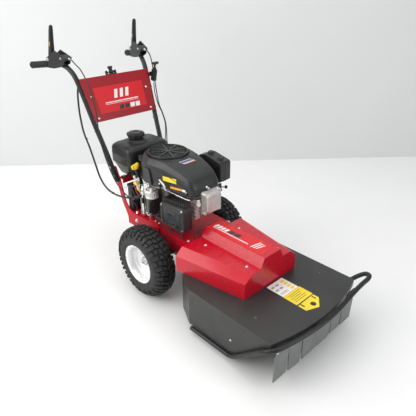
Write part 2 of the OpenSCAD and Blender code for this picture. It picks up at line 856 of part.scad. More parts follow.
module rim(side) {
    w = tyre_w / 2;
    color("gainsboro")
    on_axle(side) difference() {
        rotate_extrude($fn = 96) polygon([
            [26, -14], [26, -9], [56, -9], [66, 2], [78, 2], [80, 14], [88, 16],
            [88, w - 18], [rim_r - 8, w - 12], [rim_r, w - 8], [rim_r, w - 11],
            [93, w - 15], [92.5, w - 20], [92.5, -w + 20], [93, -w + 15],
            [rim_r, -w + 11], [rim_r, -w + 8], [rim_r - 8, -w + 12], [88, -w + 18],
            [88, 10], [84, 8], [82, -3], [68, -3], [58, -14]]);
        for (a = [45 : 90 : 315])
            rotate(a) translate([42, 0, -20]) cylinder(r = 5.2, h = 20);
        // slot for the valve
        rotate(100) translate([84, 0, 26]) rotate([0, 90, 0]) cylinder(r = 3, h = 12);
    }
}

module hub(side) {
    color("silver")
    on_axle(side) {
        union() {
            translate([0, 0, -22]) cylinder(r = 54, h = 8);
            translate([0, 0, -60]) cylinder(r = 28, h = 39);
            translate([0, 0, -wheel_x + 52]) cylinder(r = shaft_r, h = wheel_x - 52);
            translate([0, 0, -20]) cylinder(r = 24, h = 30);
            for (a = [45 : 90 : 315])
                rotate(a) translate([42, 0, -20]) cylinder(r = 5, h = 24);
        }
        for (a = [45 : 90 : 315])
            rotate(a) translate([42, 0, -8.9]) difference() {
                cylinder(r = 9, h = 8, $fn = 6);
                translate([0, 0, -1]) cylinder(r = 5.05, h = 12);
            }
    }
}

// ---- rotating drive --------------------------------------------------------------------

// Grooved pulley round the Z axis, centred on z = 0
module pulley(r, bore) {
    rotate_extrude() polygon([[bore, -11], [r + 6, -11], [r + 6, -8], [r - 3, -6.4],
        [r - 3, 6.4], [r + 6, 8], [r + 6, 11], [bore, 11]]);
}

module crankshaft() {
    color("silver")
    translate([0, crank_y, 0]) union() {
        translate([0, 0, 290]) cylinder(r = shaft_r, h = 330);
        translate([0, 0, belt_z]) pulley(crank_pr, shaft_r - 2);
        translate([0, 0, belt_z + 11]) cylinder(r = 22, h = 6);
    }
}

module flywheel() {
    color("dimgray")
    translate([0, crank_y, 0]) difference() {
        union() {
            translate([0, 0, 590]) cylinder(r = 92, h = 22);
            translate([0, 0, 612]) cylinder(r = 60, h = 10);
            for (a = [0 : 24 : 336])
                rotate(a) translate([58, -2, 612]) cube([32, 4, 44]);
            translate([0, 0, 622]) cylinder(r = 20, h = 12);
        }
        translate([0, 0, 580]) cylinder(r = shaft_r, h = 40);
    }
}

module blade_rotor() {
    color("silver")
    difference() {
        union() {
            translate([0, 0, 22]) cylinder(r = shaft_r, h = 306);
            translate([0, 0, belt_z]) pulley(spindle_pr, shaft_r - 2);
            translate([0, 0, 84]) cylinder(r = 36, h = 60);
            translate([0, 0, 84]) cylinder(r = disc_r, h = 6);
            // pivot bolts of the swinging blades
            for (a = [90, 270])
                rotate(a) translate([disc_r - 25, 0, 0]) {
                    translate([0, 0, 64]) cylinder(r = 8, h = 36);
                    translate([0, 0, 90]) cylinder(r = 14, h = 10, $fn = 6);
                    translate([0, 0, 64]) cylinder(r = 14, h = 5);
                }
        }
        for (a = [0 : 45 : 315])
            rotate(a + 22.5) translate([130, 0, 80]) cylinder(r = 22, h = 14);
    }
}

module swing_blade(angle) {
    pivot_r = disc_r - 25;
    color("silver")
    rotate(angle) difference() {
        translate([0, 0, 72]) linear_extrude(8) union() {
            translate([pivot_r, 0]) circle(26);
            polygon([[pivot_r, -26], [cut_r - 6, -24], [cut_r, -10], [cut_r, 10],
                [cut_r - 6, 24], [pivot_r, 26]]);
        }
        translate([pivot_r, 0, 60]) cylinder(r = 8 + fit, h = 30);
    }
}

module glide_dish() {
    color("dimgray")
    difference() {
        rotate_extrude() polygon([[0, 0], [60, 0], [100, 10], [128, 30], [130, 36], [124, 36],
            [98, 18], [60, 8], [30, 8], [30, 56], [0, 56]]);
        translate([0, 0, 20]) cylinder(r = shaft_r + fit, h = 50);
    }
}

module belt_loop(w) {
    hull() {
        circle(spindle_pr + w, $fn = 96);
        translate([0, crank_y]) circle(crank_pr + w, $fn = 96);
    }
}

module drive_belt() {
    color([0.07, 0.07, 0.07])
    translate([0, 0, belt_z - belt_h / 2]) linear_extrude(belt_h) difference() {
        belt_loop(belt_t - 2.4);
        belt_loop(-2.4);
    }
}

idler_pivot = [104, axle_y - 90];
idler_at = [88, axle_y - 150];
idler_r = 24;

module idler_arm() {
    color("darkgray")
    difference() {
        union() {
            translate([idler_pivot[0], idler_pivot[1], 290]) cylinder(r = 12, h = 40);
            translate([idler_at[0], idler_at[1], 292]) cylinder(r = 6, h = 36);
            hull() {
                translate([idler_pivot[0], idler_pivot[1], 290]) cylinder(r = 13, h = 5, $fn = 32);
                translate([idler_at[0], idler_at[1], 290]) cylinder(r = 11, h = 5, $fn = 32);
            }
        }
        translate([idler_pivot[0], idler_pivot[1], 280]) cylinder(r = 6 + fit, h = 60);
    }
}

module idler_pulley() {
    color("silver")
    translate([idler_at[0], idler_at[1], belt_z - 9]) difference() {
        cylinder(r = idler_r, h = 20);
        translate([0, 0, -1]) cylinder(r = 6 + fit, h = 30);
    }
}

// ---- rubber flaps ----------------------------------------------------------------------

flap_t = 5;
flap_hinge = 182;
flap_bottom = 38;

// Flap between x0 and x1, drawn in by n0 and n1 at its lower corners
module flap(x0, x1, n0, n1) {
    color([0.13, 0.13, 0.13])
    translate([0, rail_y + 2, 0]) union() {
        front_plate(-flap_t / 2, flap_t / 2,
            [[x0 + n0, flap_bottom], [x1 - n1, flap_bottom], [x1, flap_hinge], [x0, flap_hinge]]);
        // bead that the flap turns about
        translate([x0, 0, flap_hinge]) rotate([0, 90, 0]) cylinder(r = 3.5, h = x1 - x0);
    }
}

// ---- cables ----------------------------------------------------------------------------

module lever_cables() {
    color([0.05, 0.05, 0.05]) {
        sweep(route(lever_cable_right_pts, 4), 3, 8, [1, 0, 0]);
        sweep(route(lever_cable_left_pts, 4), 3, 8, [1, 0, 0]);
    }
}

module throttle_cables() {
    color([0.05, 0.05, 0.05]) {
        sweep(route(throttle_cable_pts, 4), 2.5, 8, [1, 0, 0]);
        sweep(route(loom_pts, 4), 5, 8, [1, 0, 0]);
    }
}

chassis_frame();
handle_uprights();
handle_tube(1);  // handle_tube_left
handle_tube(-1);  // handle_tube_right
control_panel();
panel_label();
dome_bolts();
hand_grips();
lever_brackets();
lever(1);  // lever_left
lever(-1);  // lever_right
throttle_housing();
throttle_knob();
selector_bracket();
selector_lever();
engine_block();
cylinder_fins();  // cylinder
valve_cover();
blower_housing();
fan_grille();
air_cleaner();
muffler();
muffler_guard();
oil_filter();
starter_motor();
dipstick_tube();
dipstick();
carburettor();
choke_lever();
plug_lead();
fuel_tank();
fuel_cap();
fuel_hose();
battery_box();
deck_shell();
bumper_tube();
belt_cover();
deck_label();
spindle_housing();
gearbox();
tyre(1);  // tyre_left
tyre(-1);  // tyre_right
rim(1);  // rim_left
rim(-1);  // rim_right
hub(1);  // hub_left
hub(-1);  // hub_right
crankshaft();
flywheel();
blade_rotor();
swing_blade(270);  // swing_blade_front
swing_blade(90);  // swing_blade_rear
glide_dish();
drive_belt();
idler_arm();
idler_pulley();
flap(107, 291, 10, 4);  // flap_left
flap(-105, 105, 4, 4);  // flap_centre
flap(-292, -107, 0, 10);  // flap_right
lever_cables();
throttle_cables();
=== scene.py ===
import random
from math import atan2, cos, dist, hypot, pi, radians, sin

import bmesh
import bpy
from mathutils import Matrix, Vector


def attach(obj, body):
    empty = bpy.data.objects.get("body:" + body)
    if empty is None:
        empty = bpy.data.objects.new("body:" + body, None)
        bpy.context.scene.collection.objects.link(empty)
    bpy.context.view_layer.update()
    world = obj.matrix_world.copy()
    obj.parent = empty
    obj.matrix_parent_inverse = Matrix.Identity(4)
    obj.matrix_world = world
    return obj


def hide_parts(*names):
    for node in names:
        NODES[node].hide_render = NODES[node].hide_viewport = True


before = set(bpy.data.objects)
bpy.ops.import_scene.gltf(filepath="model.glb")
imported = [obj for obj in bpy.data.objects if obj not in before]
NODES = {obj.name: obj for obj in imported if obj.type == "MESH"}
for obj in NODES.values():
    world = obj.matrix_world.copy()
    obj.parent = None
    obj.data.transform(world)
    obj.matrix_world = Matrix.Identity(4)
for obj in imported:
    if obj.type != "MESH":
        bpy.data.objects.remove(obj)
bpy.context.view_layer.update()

MM = 0.001
AXLE_Y = 555.0            # distance from the blade spindle back to the axle, mm
AXLE_Z = 190.5            # height of the axle
WHEEL_X = 256.5           # from the middle of the machine to a wheel's centre plane
rng = random.Random(7)


def ax(x, y, z):
    """Point in mm whose y is given from the axle."""
    return (x, y + AXLE_Y, z)


# ---- materials ----
MATS = {}


def material(name, base, rough, metallic=0.0, vary=0.12, vary_scale=9.0, rough_vary=0.06,
        bump=None, grain=None, dust=None, coat=0.0, coat_rough=0.08, spec=0.5, streak=None):
    """Painted, moulded, cast or rubber surface: colour, roughness and relief from noise.

    bump is (strength, noise scale, mm), grain (depth, noise scale) and dust (colour, amount,
    noise scale). streak stretches the fine noise.
    """
    m = bpy.data.materials.new("finish_" + name)
    m.use_nodes = True
    nt = m.node_tree
    nt.nodes.clear()
    N, L = nt.nodes.new, nt.links.new
    out = N("ShaderNodeOutputMaterial")
    bsdf = N("ShaderNodeBsdfPrincipled")
    L(bsdf.outputs[0], out.inputs[0])
    for socket, value in (("Metallic", metallic), ("Specular IOR Level", spec),
            ("Coat Weight", coat), ("Coat Roughness", coat_rough)):
        bsdf.inputs[socket].default_value = value
    src = fine_src = N("ShaderNodeTexCoord").outputs["Object"]
    if streak:
        mp = N("ShaderNodeMapping")
        mp.inputs["Scale"].default_value = streak
        L(src, mp.inputs["Vector"])
        fine_src = mp.outputs[0]

    def noise(scale, detail, vec, rough_n=0.55):
        n = N("ShaderNodeTexNoise")
        n.inputs["Scale"].default_value = scale
        n.inputs["Detail"].default_value = detail
        n.inputs["Roughness"].default_value = rough_n
        L(vec, n.inputs["Vector"])
        return n.outputs["Fac"]

    def ramp(fac, low, high, dark, light):
        n = N("ShaderNodeValToRGB")
        for e, at, c in zip(n.color_ramp.elements, (low, high), (dark, light)):
            e.position, e.color = at, tuple(c) + (1,)
        L(fac, n.inputs[0])
        return n.outputs[0]

    def mix(a):
        n = N("ShaderNodeMix")
        n.data_type = "RGBA"
        L(a, n.inputs[6])
        return n

    colour = ramp(noise(vary_scale, 6.0, src), 0.28, 0.72, [c * (1 - vary) for c in base],
        [min(1, c * (1 + vary)) for c in base])
    if grain:
        depth, scale = grain
        mul = mix(colour)
        mul.blend_type = "MULTIPLY"
        mul.inputs[0].default_value = 1.0
        L(ramp(noise(scale, 3.0, fine_src), 0.35, 0.65, (1 - depth,) * 3, (1,) * 3), mul.inputs[7])
        colour = mul.outputs[2]
    if dust:
        tint, amount, scale = dust
        over = mix(colour)
        over.inputs[7].default_value = tint + (1,)
        L(ramp(noise(scale, 8.0, src, 0.65), 0.50, 0.72, (0,) * 3, (amount,) * 3), over.inputs[0])
        colour = over.outputs[2]
    L(colour, bsdf.inputs["Base Color"])
    mr = N("ShaderNodeMapRange")
    for socket, value in (("From Min", 0.3), ("From Max", 0.7),
            ("To Min", max(0.02, rough - rough_vary)), ("To Max", min(1.0, rough + rough_vary))):
        mr.inputs[socket].default_value = value
    L(noise(vary_scale * 3.1, 5.0, src), mr.inputs["Value"])
    L(mr.outputs[0], bsdf.inputs["Roughness"])
    if bump:
        strength, scale, height = bump
        b = N("ShaderNodeBump")
        b.inputs["Strength"].default_value = strength
        b.inputs["Distance"].default_value = height * MM
        L(noise(scale, 4.0, fine_src), b.inputs["Height"])
        L(b.outputs[0], bsdf.inputs["Normal"])
    MATS[name] = m


material("red_paint", (0.53, 0.002, 0.016), 0.27, vary=0.03, rough_vary=0.015,
    bump=(0.03, 420, 0.03), coat=0.25, coat_rough=0.1, spec=0.38)
material("red_frame", (0.45, 0.003, 0.014), 0.40, vary=0.1, rough_vary=0.07,
    bump=(0.12, 420, 0.05), dust=((0.16, 0.03, 0.03), 0.14, 18), spec=0.22)
material("red_label", (0.66, 0.012, 0.018), 0.36, vary=0.05, rough_vary=0.04,
    bump=(0.06, 260, 0.04), spec=0.4)
material("red_ridge", (0.64, 0.008, 0.014), 0.34, vary=0.05, rough_vary=0.04,
    bump=(0.06, 260, 0.04), spec=0.4)
material("dark_red", (0.33, 0.004, 0.010), 0.36, vary=0.08, rough_vary=0.06, bump=(0.1, 420, 0.05),
    coat=0.1, coat_rough=0.2, spec=0.4)
material("deck_paint", (0.036, 0.037, 0.036), 0.36, vary=0.14, vary_scale=6, rough_vary=0.07,
    bump=(0.3, 900, 0.08), grain=(0.2, 1400), dust=((0.12, 0.115, 0.1), 0.06, 26), spec=0.4)
material("black_paint", (0.017, 0.017, 0.018), 0.32, vary=0.15, rough_vary=0.07,
    bump=(0.2, 800, 0.06), spec=0.38)
material("black_plastic", (0.018, 0.018, 0.019), 0.40, vary=0.14, rough_vary=0.05,
    bump=(0.3, 1500, 0.07), grain=(0.2, 1800), spec=0.38)
material("engine_plastic", (0.026, 0.027, 0.027), 0.36, vary=0.12, rough_vary=0.05,
    bump=(0.3, 1700, 0.07), grain=(0.15, 2000), dust=((0.1, 0.1, 0.095), 0.05, 22), spec=0.38)
material("tank_plastic", (0.016, 0.017, 0.017), 0.38, vary=0.12, rough_vary=0.06,
    bump=(0.35, 1300, 0.08), grain=(0.15, 2000), spec=0.38)
material("knob_plastic", (0.016, 0.016, 0.017), 0.50, vary=0.15, bump=(0.5, 1600, 0.07),
    grain=(0.2, 900.0))
material("grip_rubber", (0.020, 0.020, 0.020), 0.72, vary=0.18, bump=(0.7, 1100, 0.14),
    grain=(0.25, 900.0), spec=0.3)
# mid grey: partly the rubber's own grey, partly a painted reflection raised into its colour
material("grey_rubber_with_painted_sheen", (0.20, 0.205, 0.205), 0.56, vary=0.16, vary_scale=16,
    bump=(0.45, 500, 0.16), grain=(0.22, 700), dust=((0.2, 0.195, 0.18), 0.2, 24))
material("tyre_rubber", (0.016, 0.017, 0.017), 0.62, vary=0.25, vary_scale=22,
    bump=(0.6, 480, 0.2), grain=(0.3, 520), dust=((0.09, 0.08, 0.06), 0.16, 42))
material("cable_sheath", (0.014, 0.014, 0.015), 0.42, vary=0.2, bump=(0.3, 700, 0.06))
material("rim_paint", (0.88, 0.885, 0.89), 0.28, metallic=0.25, vary=0.05, rough_vary=0.05,
    bump=(0.15, 900, 0.04), grain=(0.06, 2500), dust=((0.42, 0.41, 0.39), 0.12, 24))
material("cast_alloy", (0.58, 0.57, 0.55), 0.44, metallic=0.75, vary=0.12, vary_scale=20,
    rough_vary=0.08, bump=(0.8, 420, 0.25), grain=(0.18, 600), dust=((0.16, 0.15, 0.13), 0.3, 35))
material("cover_alloy", (0.57, 0.55, 0.525), 0.42, metallic=0.5, vary=0.08, vary_scale=24,
    rough_vary=0.06, bump=(0.5, 700, 0.14), grain=(0.14, 900))
material("zinc", (0.74, 0.74, 0.72), 0.26, metallic=1.0, vary=0.1, vary_scale=60, rough_vary=0.08,
    bump=(0.2, 900, 0.04))
material("dull_zinc", (0.16, 0.16, 0.16), 0.42, metallic=0.8, vary=0.14, vary_scale=60,
    rough_vary=0.08, bump=(0.3, 700, 0.06))
material("steel", (0.50, 0.50, 0.50), 0.36, metallic=1.0, vary=0.14, vary_scale=26, rough_vary=0.1,
    bump=(0.3, 500, 0.06), grain=(0.2, 260), streak=(1.0, 1.0, 9.0))
material("iron", (0.10, 0.10, 0.10), 0.56, metallic=0.55, vary=0.2, vary_scale=24, rough_vary=0.1,
    bump=(0.7, 420, 0.2), dust=((0.14, 0.08, 0.05), 0.25, 20))
material("muffler_paint", (0.022, 0.023, 0.025), 0.38, vary=0.2, vary_scale=18, rough_vary=0.1,
    bump=(0.4, 700, 0.12), dust=((0.09, 0.085, 0.08), 0.12, 30), spec=0.38)
material("filter_paint", (0.020, 0.021, 0.022), 0.28, vary=0.15, rough_vary=0.06,
    bump=(0.2, 600, 0.05), coat=0.3, coat_rough=0.12)
material("yellow_plastic", (0.86, 0.58, 0.015), 0.40, vary=0.06, bump=(0.4, 1300, 0.06))
material("porcelain", (0.82, 0.80, 0.77), 0.22, vary=0.05, bump=(0.1, 400, 0.03))
material("brass", (0.72, 0.46, 0.12), 0.34, metallic=0.9, vary=0.12, bump=(0.2, 800, 0.05))
material("block_alloy", (0.17, 0.17, 0.168), 0.50, metallic=0.4, vary=0.16, vary_scale=20,
    rough_vary=0.08, bump=(0.7, 420, 0.22), grain=(0.18, 600), spec=0.3)
material("bright_alloy", (0.80, 0.785, 0.76), 0.40, metallic=0.25, vary=0.1, vary_scale=30,
    rough_vary=0.07, bump=(0.6, 520, 0.18), grain=(0.14, 800))
# paler and pinker than the other alloys: painted light and a painted red reflection on fins that
# sit in shade
material("fin_alloy_painted_light", (0.74, 0.60, 0.58), 0.46, metallic=0.2, vary=0.14, vary_scale=30,
    rough_vary=0.08, bump=(0.6, 480, 0.2), grain=(0.16, 700))
for name, tone, rough, vary, bump in (("white", (0.86, 0.85, 0.84), 0.40, 0.03, (0.1, 500, 0.02)),
        ("pale", (0.50, 0.50, 0.53), 0.40, 0.05, (0.1, 500, 0.02)),
        ("black", (0.020, 0.020, 0.022), 0.42, 0.1, (0.1, 500, 0.02)),
        ("grey", (0.36, 0.36, 0.36), 0.42, 0.06, (0.1, 500, 0.02)), ("yellow", (0.86, 0.66, 0.03),
        0.38, 0.05, (0.12, 400, 0.03)), ("orange", (0.84, 0.36, 0.02), 0.38, 0.05,
        (0.1, 400, 0.02)), ("blue", (0.05, 0.065, 0.19), 0.38, 0.06, (0.1, 400, 0.02)),
        ("red", (0.50, 0.03, 0.03), 0.38, 0.06, (0.1, 400, 0.02))):
    material("print_" + name, tone, rough, vary=vary, bump=bump)
material("tie_nylon", (0.030, 0.030, 0.031), 0.48, vary=0.1, bump=(0.3, 900, 0.05))
material("floor", (0.90, 0.90, 0.895), 0.55, vary=0.012, vary_scale=2.0, bump=(0.1, 60, 0.3))
material("wall", (0.70, 0.71, 0.712), 0.75, vary=0.012, vary_scale=1.5, bump=(0.1, 60, 0.3))

# ---- mesh helpers ----
bm = bmesh.new()           # the mesh being built, in mm, which piece() takes and empties


def circle(n):
    """Angles of n points round a circle."""
    return [2 * pi * k / n for k in range(n)]


def place(x, y, z):
    """Matrix that moves to a point in mm whose y is given from the axle."""
    return Matrix.Translation(ax(x, y, z))


def spin(degrees, axis):
    return Matrix.Rotation(radians(degrees), 4, axis)


def aim(a, b):
    """Matrix in mm whose +Z runs from a to b."""
    a, b = Vector(a), Vector(b)
    return Matrix.Translation(a) @ (b - a).to_track_quat("Z", "Y").to_matrix().to_4x4()


def along(point, direction):
    return aim(point, Vector(point) + Vector(direction))


def skin(rings, caps=True, loop=False):
    """Joins rings of equal length with quads. Each ring is a list of points in mm."""
    rows = [[bm.verts.new(p) for p in ring] for ring in rings]
    n = len(rows[0])
    pairs = list(zip(rows, rows[1:]))
    if loop:
        pairs.append((rows[-1], rows[0]))
    for r0, r1 in pairs:
        for k in range(n):
            j = (k + 1) % n
            bm.faces.new((r0[k], r0[j], r1[j], r1[k]))
    if caps and not loop:
        bm.faces.new(list(reversed(rows[0])))
        bm.faces.new(rows[-1])


def lathe(profile, m=Matrix(), segs=48, loop=False, lobes=None):
    """Revolves (radius, height) pairs round the local Z of m."""
    def point(r, h, a):
        q = r * (lobes(a, h) if lobes else 1.0)
        return m @ Vector((q * cos(a), q * sin(a), h))
    skin([[point(r, h, a) for a in circle(segs)] for r, h in profile], loop=loop)


def flutes(depth, n, low, high):
    """Lobes for lathe(): n flutes between two heights."""
    return lambda a, h: 1 + (depth * cos(n * a) if low < h < high else 0)


def curve_points(pts, n):
    """Catmull-Rom route through pts with n steps between neighbours."""
    P = [Vector(p) for p in pts]
    out = []
    for i in range(len(P) - 1):
        p0, p1, p2, p3 = P[max(i - 1, 0)], P[i], P[i + 1], P[min(i + 2, len(P) - 1)]
        for k in range(n):
            t = k / n
            out.append(0.5 * (2 * p1 + (p2 - p0) * t + (2 * p0 - 5 * p1 + 4 * p2 - p3) * t * t
                + (3 * p1 - p0 - 3 * p2 + p3) * t ** 3))
    out.append(P[-1])
    return out


def tube(pts, r, sides=16, round_ends=True, radii=None):
    """Round tube along pts with a frame carried along it without twist."""
    P = [Vector(p) for p in pts]
    T = [(P[min(i + 1, len(P) - 1)] - P[max(i - 1, 0)]).normalized() for i in range(len(P))]
    n = T[0].orthogonal().normalized()
    rings, caps = [], 0.3 * r

    def add_ring(centre, q):
        rings.append([centre + q * (cos(a) * n + sin(a) * b) for a in circle(sides)])

    for i, p in enumerate(P):
        n = (n - T[i] * n.dot(T[i])).normalized()
        b = T[i].cross(n)
        q = radii[i] if radii else r
        if i == 0 and round_ends:
            add_ring(p, q - caps)
            p = p + T[0] * min(caps, 0.4 * (P[1] - P[0]).length)
        if i == len(P) - 1 and round_ends:
            add_ring(p - T[i] * min(caps, 0.4 * (P[i] - P[i - 1]).length), q)
            add_ring(p, q - caps)
        else:
            add_ring(p, q)
    skin(rings)


def block(lo, hi, m=Matrix(), taper=0.0):
    x0, y0, z0 = lo
    x1, y1, z1 = hi
    t = taper
    pts = [(x0, y0, z0), (x1, y0, z0), (x1, y1, z0), (x0, y1, z0), (x0 + t, y0 + t, z1),
        (x1 - t, y0 + t, z1), (x1 - t, y1 - t, z1), (x0 + t, y1 - t, z1)]
    v = [bm.verts.new(m @ Vector(p)) for p in pts]
    for f in ((3, 2, 1, 0), (4, 5, 6, 7), (0, 1, 5, 4), (1, 2, 6, 5), (2, 3, 7, 6), (3, 0, 4, 7)):
        bm.faces.new([v[i] for i in f])


def prism(pts, a0, a1, axis="z", m=Matrix()):
    """Extrudes a flat outline: axis x takes (y, z) points, y takes (x, z), z takes (x, y)."""
    def lift(p, a):
        q = {"x": (a, p[0], p[1]), "y": (p[0], a, p[1]), "z": (p[0], p[1], a)}[axis]
        return m @ Vector(q)
    skin([[lift(p, a0) for p in pts], [lift(p, a1) for p in pts]])


def stack(levels, m, n):
    """Stacks rounded rectangles along the local Z of m: (height, width, depth, radius)."""
    skin([[m @ Vector((p[0], p[1], h)) for p in round_rect(x, y, r, n)] for h, x, y, r in levels])


def post(w, d, r, x, y, z0, z1):
    """Upright rounded block at (x, y from the axle)."""
    prism(round_rect(w, d, r, cx=x, cy=AXLE_Y + y), z0, z1)


def beam(w, h, r, y, z, x0, x1):
    """Rounded block that runs along x at (y from the axle, z)."""
    prism(round_rect(w, h, r, cx=AXLE_Y + y, cy=z), x0, x1, "x")


def side_plate(pts, x0, x1):
    """Extrudes along x an outline of (y from the axle, z) points."""
    prism([(AXLE_Y + y, z) for y, z in pts], x0, x1, "x")


def route(pts, n=8):
    """Smooth route through points whose y is given from the axle."""
    return curve_points([ax(*p) for p in pts], n)


def wire(pts, r):
    tube([ax(*p) for p in pts], r, 8)


def round_rect(x, y, r, n=5, cx=0.0, cy=0.0):
    """Rounded rectangle outline, 4(n + 1) points, x by y."""
    out = []
    for qx, qy, a0 in ((1, 1, 0), (-1, 1, 90), (-1, -1, 180), (1, -1, 270)):
        for k in range(n + 1):
            a = radians(a0 + 90 * k / n)
            out.append((cx + qx * (x / 2 - r) + r * cos(a), cy + qy * (y / 2 - r) + r * sin(a)))
    return out


def piece(name, mat, covers=(), body="frame", bevel=0.0, segments=3, angle=32.0):
    """Finishes the mesh being built as a piece that rides on a body, and empties it."""
    bmesh.ops.scale(bm, vec=(MM, MM, MM), verts=bm.verts)
    bmesh.ops.recalc_face_normals(bm, faces=bm.faces)
    for f in bm.faces:
        f.smooth = True
    if not bevel:
        for e in bm.edges:
            if len(e.link_faces) == 2 and e.calc_face_angle(0.0) > radians(angle):
                e.smooth = False
    me = bpy.data.meshes.new(name)
    bm.to_mesh(me)
    bm.clear()
    return dress(name, me, mat, body, covers, bevel, segments, angle)


def dress(name, me, mat, body, covers, bevel, segments, angle):
    """Object with its material, bevel, body and the CAD nodes that it stands for."""
    me.materials.append(MATS[mat])
    obj = bpy.data.objects.new(name, me)
    bpy.context.scene.collection.objects.link(obj)
    if bevel:
        mod = obj.modifiers.new("edges", "BEVEL")
        mod.width = bevel * MM
        mod.segments = segments
        mod.limit_method = "ANGLE"
        mod.angle_limit = radians(angle)
        mod.harden_normals = True
        mod.miter_outer = "MITER_ARC"
    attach(obj, body)
    if covers:
        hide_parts(*covers)
    return obj


def form_of(node, mat, bevel=0.8, segments=2, angle=32.0, body="frame"):
    """Copy of a CAD node's mesh with its flat faces joined and its edges rounded."""
    bm = bmesh.new()
    bm.from_mesh(NODES[node].data)
    bmesh.ops.remove_doubles(bm, verts=bm.verts, dist=1e-5)
    bmesh.ops.dissolve_limit(bm, angle_limit=radians(0.6), verts=bm.verts, edges=bm.edges)
    for f in bm.faces:
        f.smooth = True
        f.material_index = 0
    clean = bmesh.new()
    lookup = {v: clean.verts.new(v.co) for v in bm.verts}
    for f in bm.faces:
        try:
            clean.faces.new([lookup[v] for v in f.verts]).smooth = True
        except ValueError:
            continue
    loose = [v for v in clean.verts if not v.link_faces]
    bmesh.ops.delete(clean, geom=loose, context="VERTS")
    me = bpy.data.meshes.new(node + "_form")
    clean.to_mesh(me)
    bm.free()
    clean.free()
    dress(node + "_form", me, mat, body, (node,), bevel, segments, angle)


def hex_bolt(at, direction, r=6.0, h=4.5, washer=True):
    m = along(at, direction)
    if washer:
        lathe([(r * 1.55, 0), (r * 1.55, 1.0), (r * 1.45, 1.4)], m, 24)
    z = 1.2 if washer else 0.0
    turn = Matrix.Rotation(rng.uniform(0, 1.0), 4, "Z")
    lathe([(r * 0.98, z), (r, z + 0.5), (r, z + h - 0.9), (r * 0.86, z + h)], m @ turn, 6)


def bolts(points, direction, r, h):
    """Hexagon bolts at points whose y is given from the axle."""
    for p in points:
        hex_bolt(ax(*p), direction, r, h)


def dome_head(at, direction, r=6.0, h=3.6):
    m = along(at, direction)
    lathe([(r * 1.25, -0.3), (r * 1.25, 0.6), (r * 1.02, 0.9), (r * 0.98, h * 0.45),
        (r * 0.8, h * 0.8), (r * 0.45, h), (r * 0.3, h), (r * 0.26, h - 1.2)], m, 20)


def slots_of(node, mat):
    for s in NODES[node].material_slots:
        s.material = MATS[mat]
    for poly in NODES[node].data.polygons:
        poly.use_smooth = True

def weld(points, r, ripple):
    """Bead through points that are already in the part's frame."""
    tube(points, r + 0.2, 8, radii=[r + ripple * (k % 2) for k in range(len(points))])

# ---- wheels ----

# half of a tyre's cross-section: distance from its centre plane, radius
TYRE_HALF = [(0, 179.5), (14, 179.1), (27, 177.2), (38, 172.8), (46, 166.4), (52, 158),
    (56.5, 148.5), (59.2, 136), (58.6, 122), (55.2, 110.5), (51.3, 104.6)]
TYRE_FINE = [(p.x, p.y) for p in curve_points([(a, b, 0) for a, b in TYRE_HALF], 4)]
TYRE_RUN = [0.0]
for p0, p1 in zip(TYRE_FINE, TYRE_FINE[1:]):
    TYRE_RUN.append(TYRE_RUN[-1] + dist(p0, p1))


def tyre_point(t):
    """Centre-plane distance, radius and outward direction at path length t from the crown."""
    s, t = (1 if t >= 0 else -1), abs(t)
    i = max(k for k in range(len(TYRE_RUN) - 1) if TYRE_RUN[k] <= t)
    f = (t - TYRE_RUN[i]) / (TYRE_RUN[i + 1] - TYRE_RUN[i])
    (a0, b0), (a1, b1) = TYRE_FINE[i], TYRE_FINE[i + 1]
    d = hypot(a1 - a0, b1 - b0)
    return s * (a0 + f * (a1 - a0)), b0 + f * (b1 - b0), s * (b0 - b1) / d, (a1 - a0) / d


def wheel_point(side, turn, a, r):
    w = radians(turn)
    return Vector((side * (WHEEL_X + a), AXLE_Y + r * sin(w), AXLE_Z + r * cos(w)))


def add_lug(side, corners, high, rows, cols=2):
    """Tread block between four (turn, path) corners, standing high above the carcass."""
    c = [Vector((p[0], p[1])) for p in corners]
    mid = sum(c, Vector((0, 0))) / 4

    def at(u, v, grow, h):
        q = (c[0] * (1 - u) * (1 - v) + c[1] * u * (1 - v) + c[2] * u * v + c[3] * (1 - u) * v)
        d = q - mid
        q = mid + Vector((d[0] * (1 + grow / max(3.0, abs(d[0]) * 3.2)),
            d[1] * (1 + grow / max(5, d.length))))
        a, r, na, nr = tyre_point(max(-112, min(112, q[1])))
        return wheel_point(side, q[0], a + na * h, r + nr * h)

    ring = [(k / cols, 0) for k in range(cols)] + [(1, k / rows) for k in range(rows)] \
        + [(1 - k / cols, 1) for k in range(cols)] + [(0, 1 - k / rows) for k in range(rows)]
    low = [bm.verts.new(at(u, v, 1.6, -1.5)) for u, v in ring]
    mid_r = [bm.verts.new(at(u, v, 0.4, high - 1.5)) for u, v in ring]
    top = {}
    for i in range(cols + 1):
        for j in range(rows + 1):
            top[i, j] = bm.verts.new(at(i / cols, j / rows, -1.0, high))
    top_r = [top[round(u * cols), round(v * rows)] for u, v in ring]
    n = len(ring)
    for k in range(n):
        j = (k + 1) % n
        bm.faces.new((low[k], low[j], mid_r[j], mid_r[k]))
        bm.faces.new((mid_r[k], mid_r[j], top_r[j], top_r[k]))
    for i in range(cols):
        for j in range(rows):
            bm.faces.new((top[i, j], top[i + 1, j], top[i + 1, j + 1], top[i, j + 1]))
    bm.faces.new(list(reversed(low)))


# tread blocks of one pitch: height, rows, and corners as (part of the pitch, path length)
LUGS = ((10.8, 2, ((0.02, 1.8), (0.38, 1.8), (0.56, 18.5), (0.18, 18.5))),
        (10.6, 2, ((0.60, 7.5), (0.88, 6.5), (1.02, 24), (0.72, 25))),
        (10.2, 2, ((0.22, 23), (0.56, 23.5), (0.62, 40), (0.24, 39))),
        (9.2, 5, ((0.70, 30), (1.04, 29.5), (0.98, 64), (0.72, 64))),
        (8.4, 3, ((0.20, 45), (0.56, 45.5), (0.50, 59), (0.24, 59))),
        (3.6, 2, ((0.66, 68), (1.00, 68), (0.94, 78), (0.72, 78))))


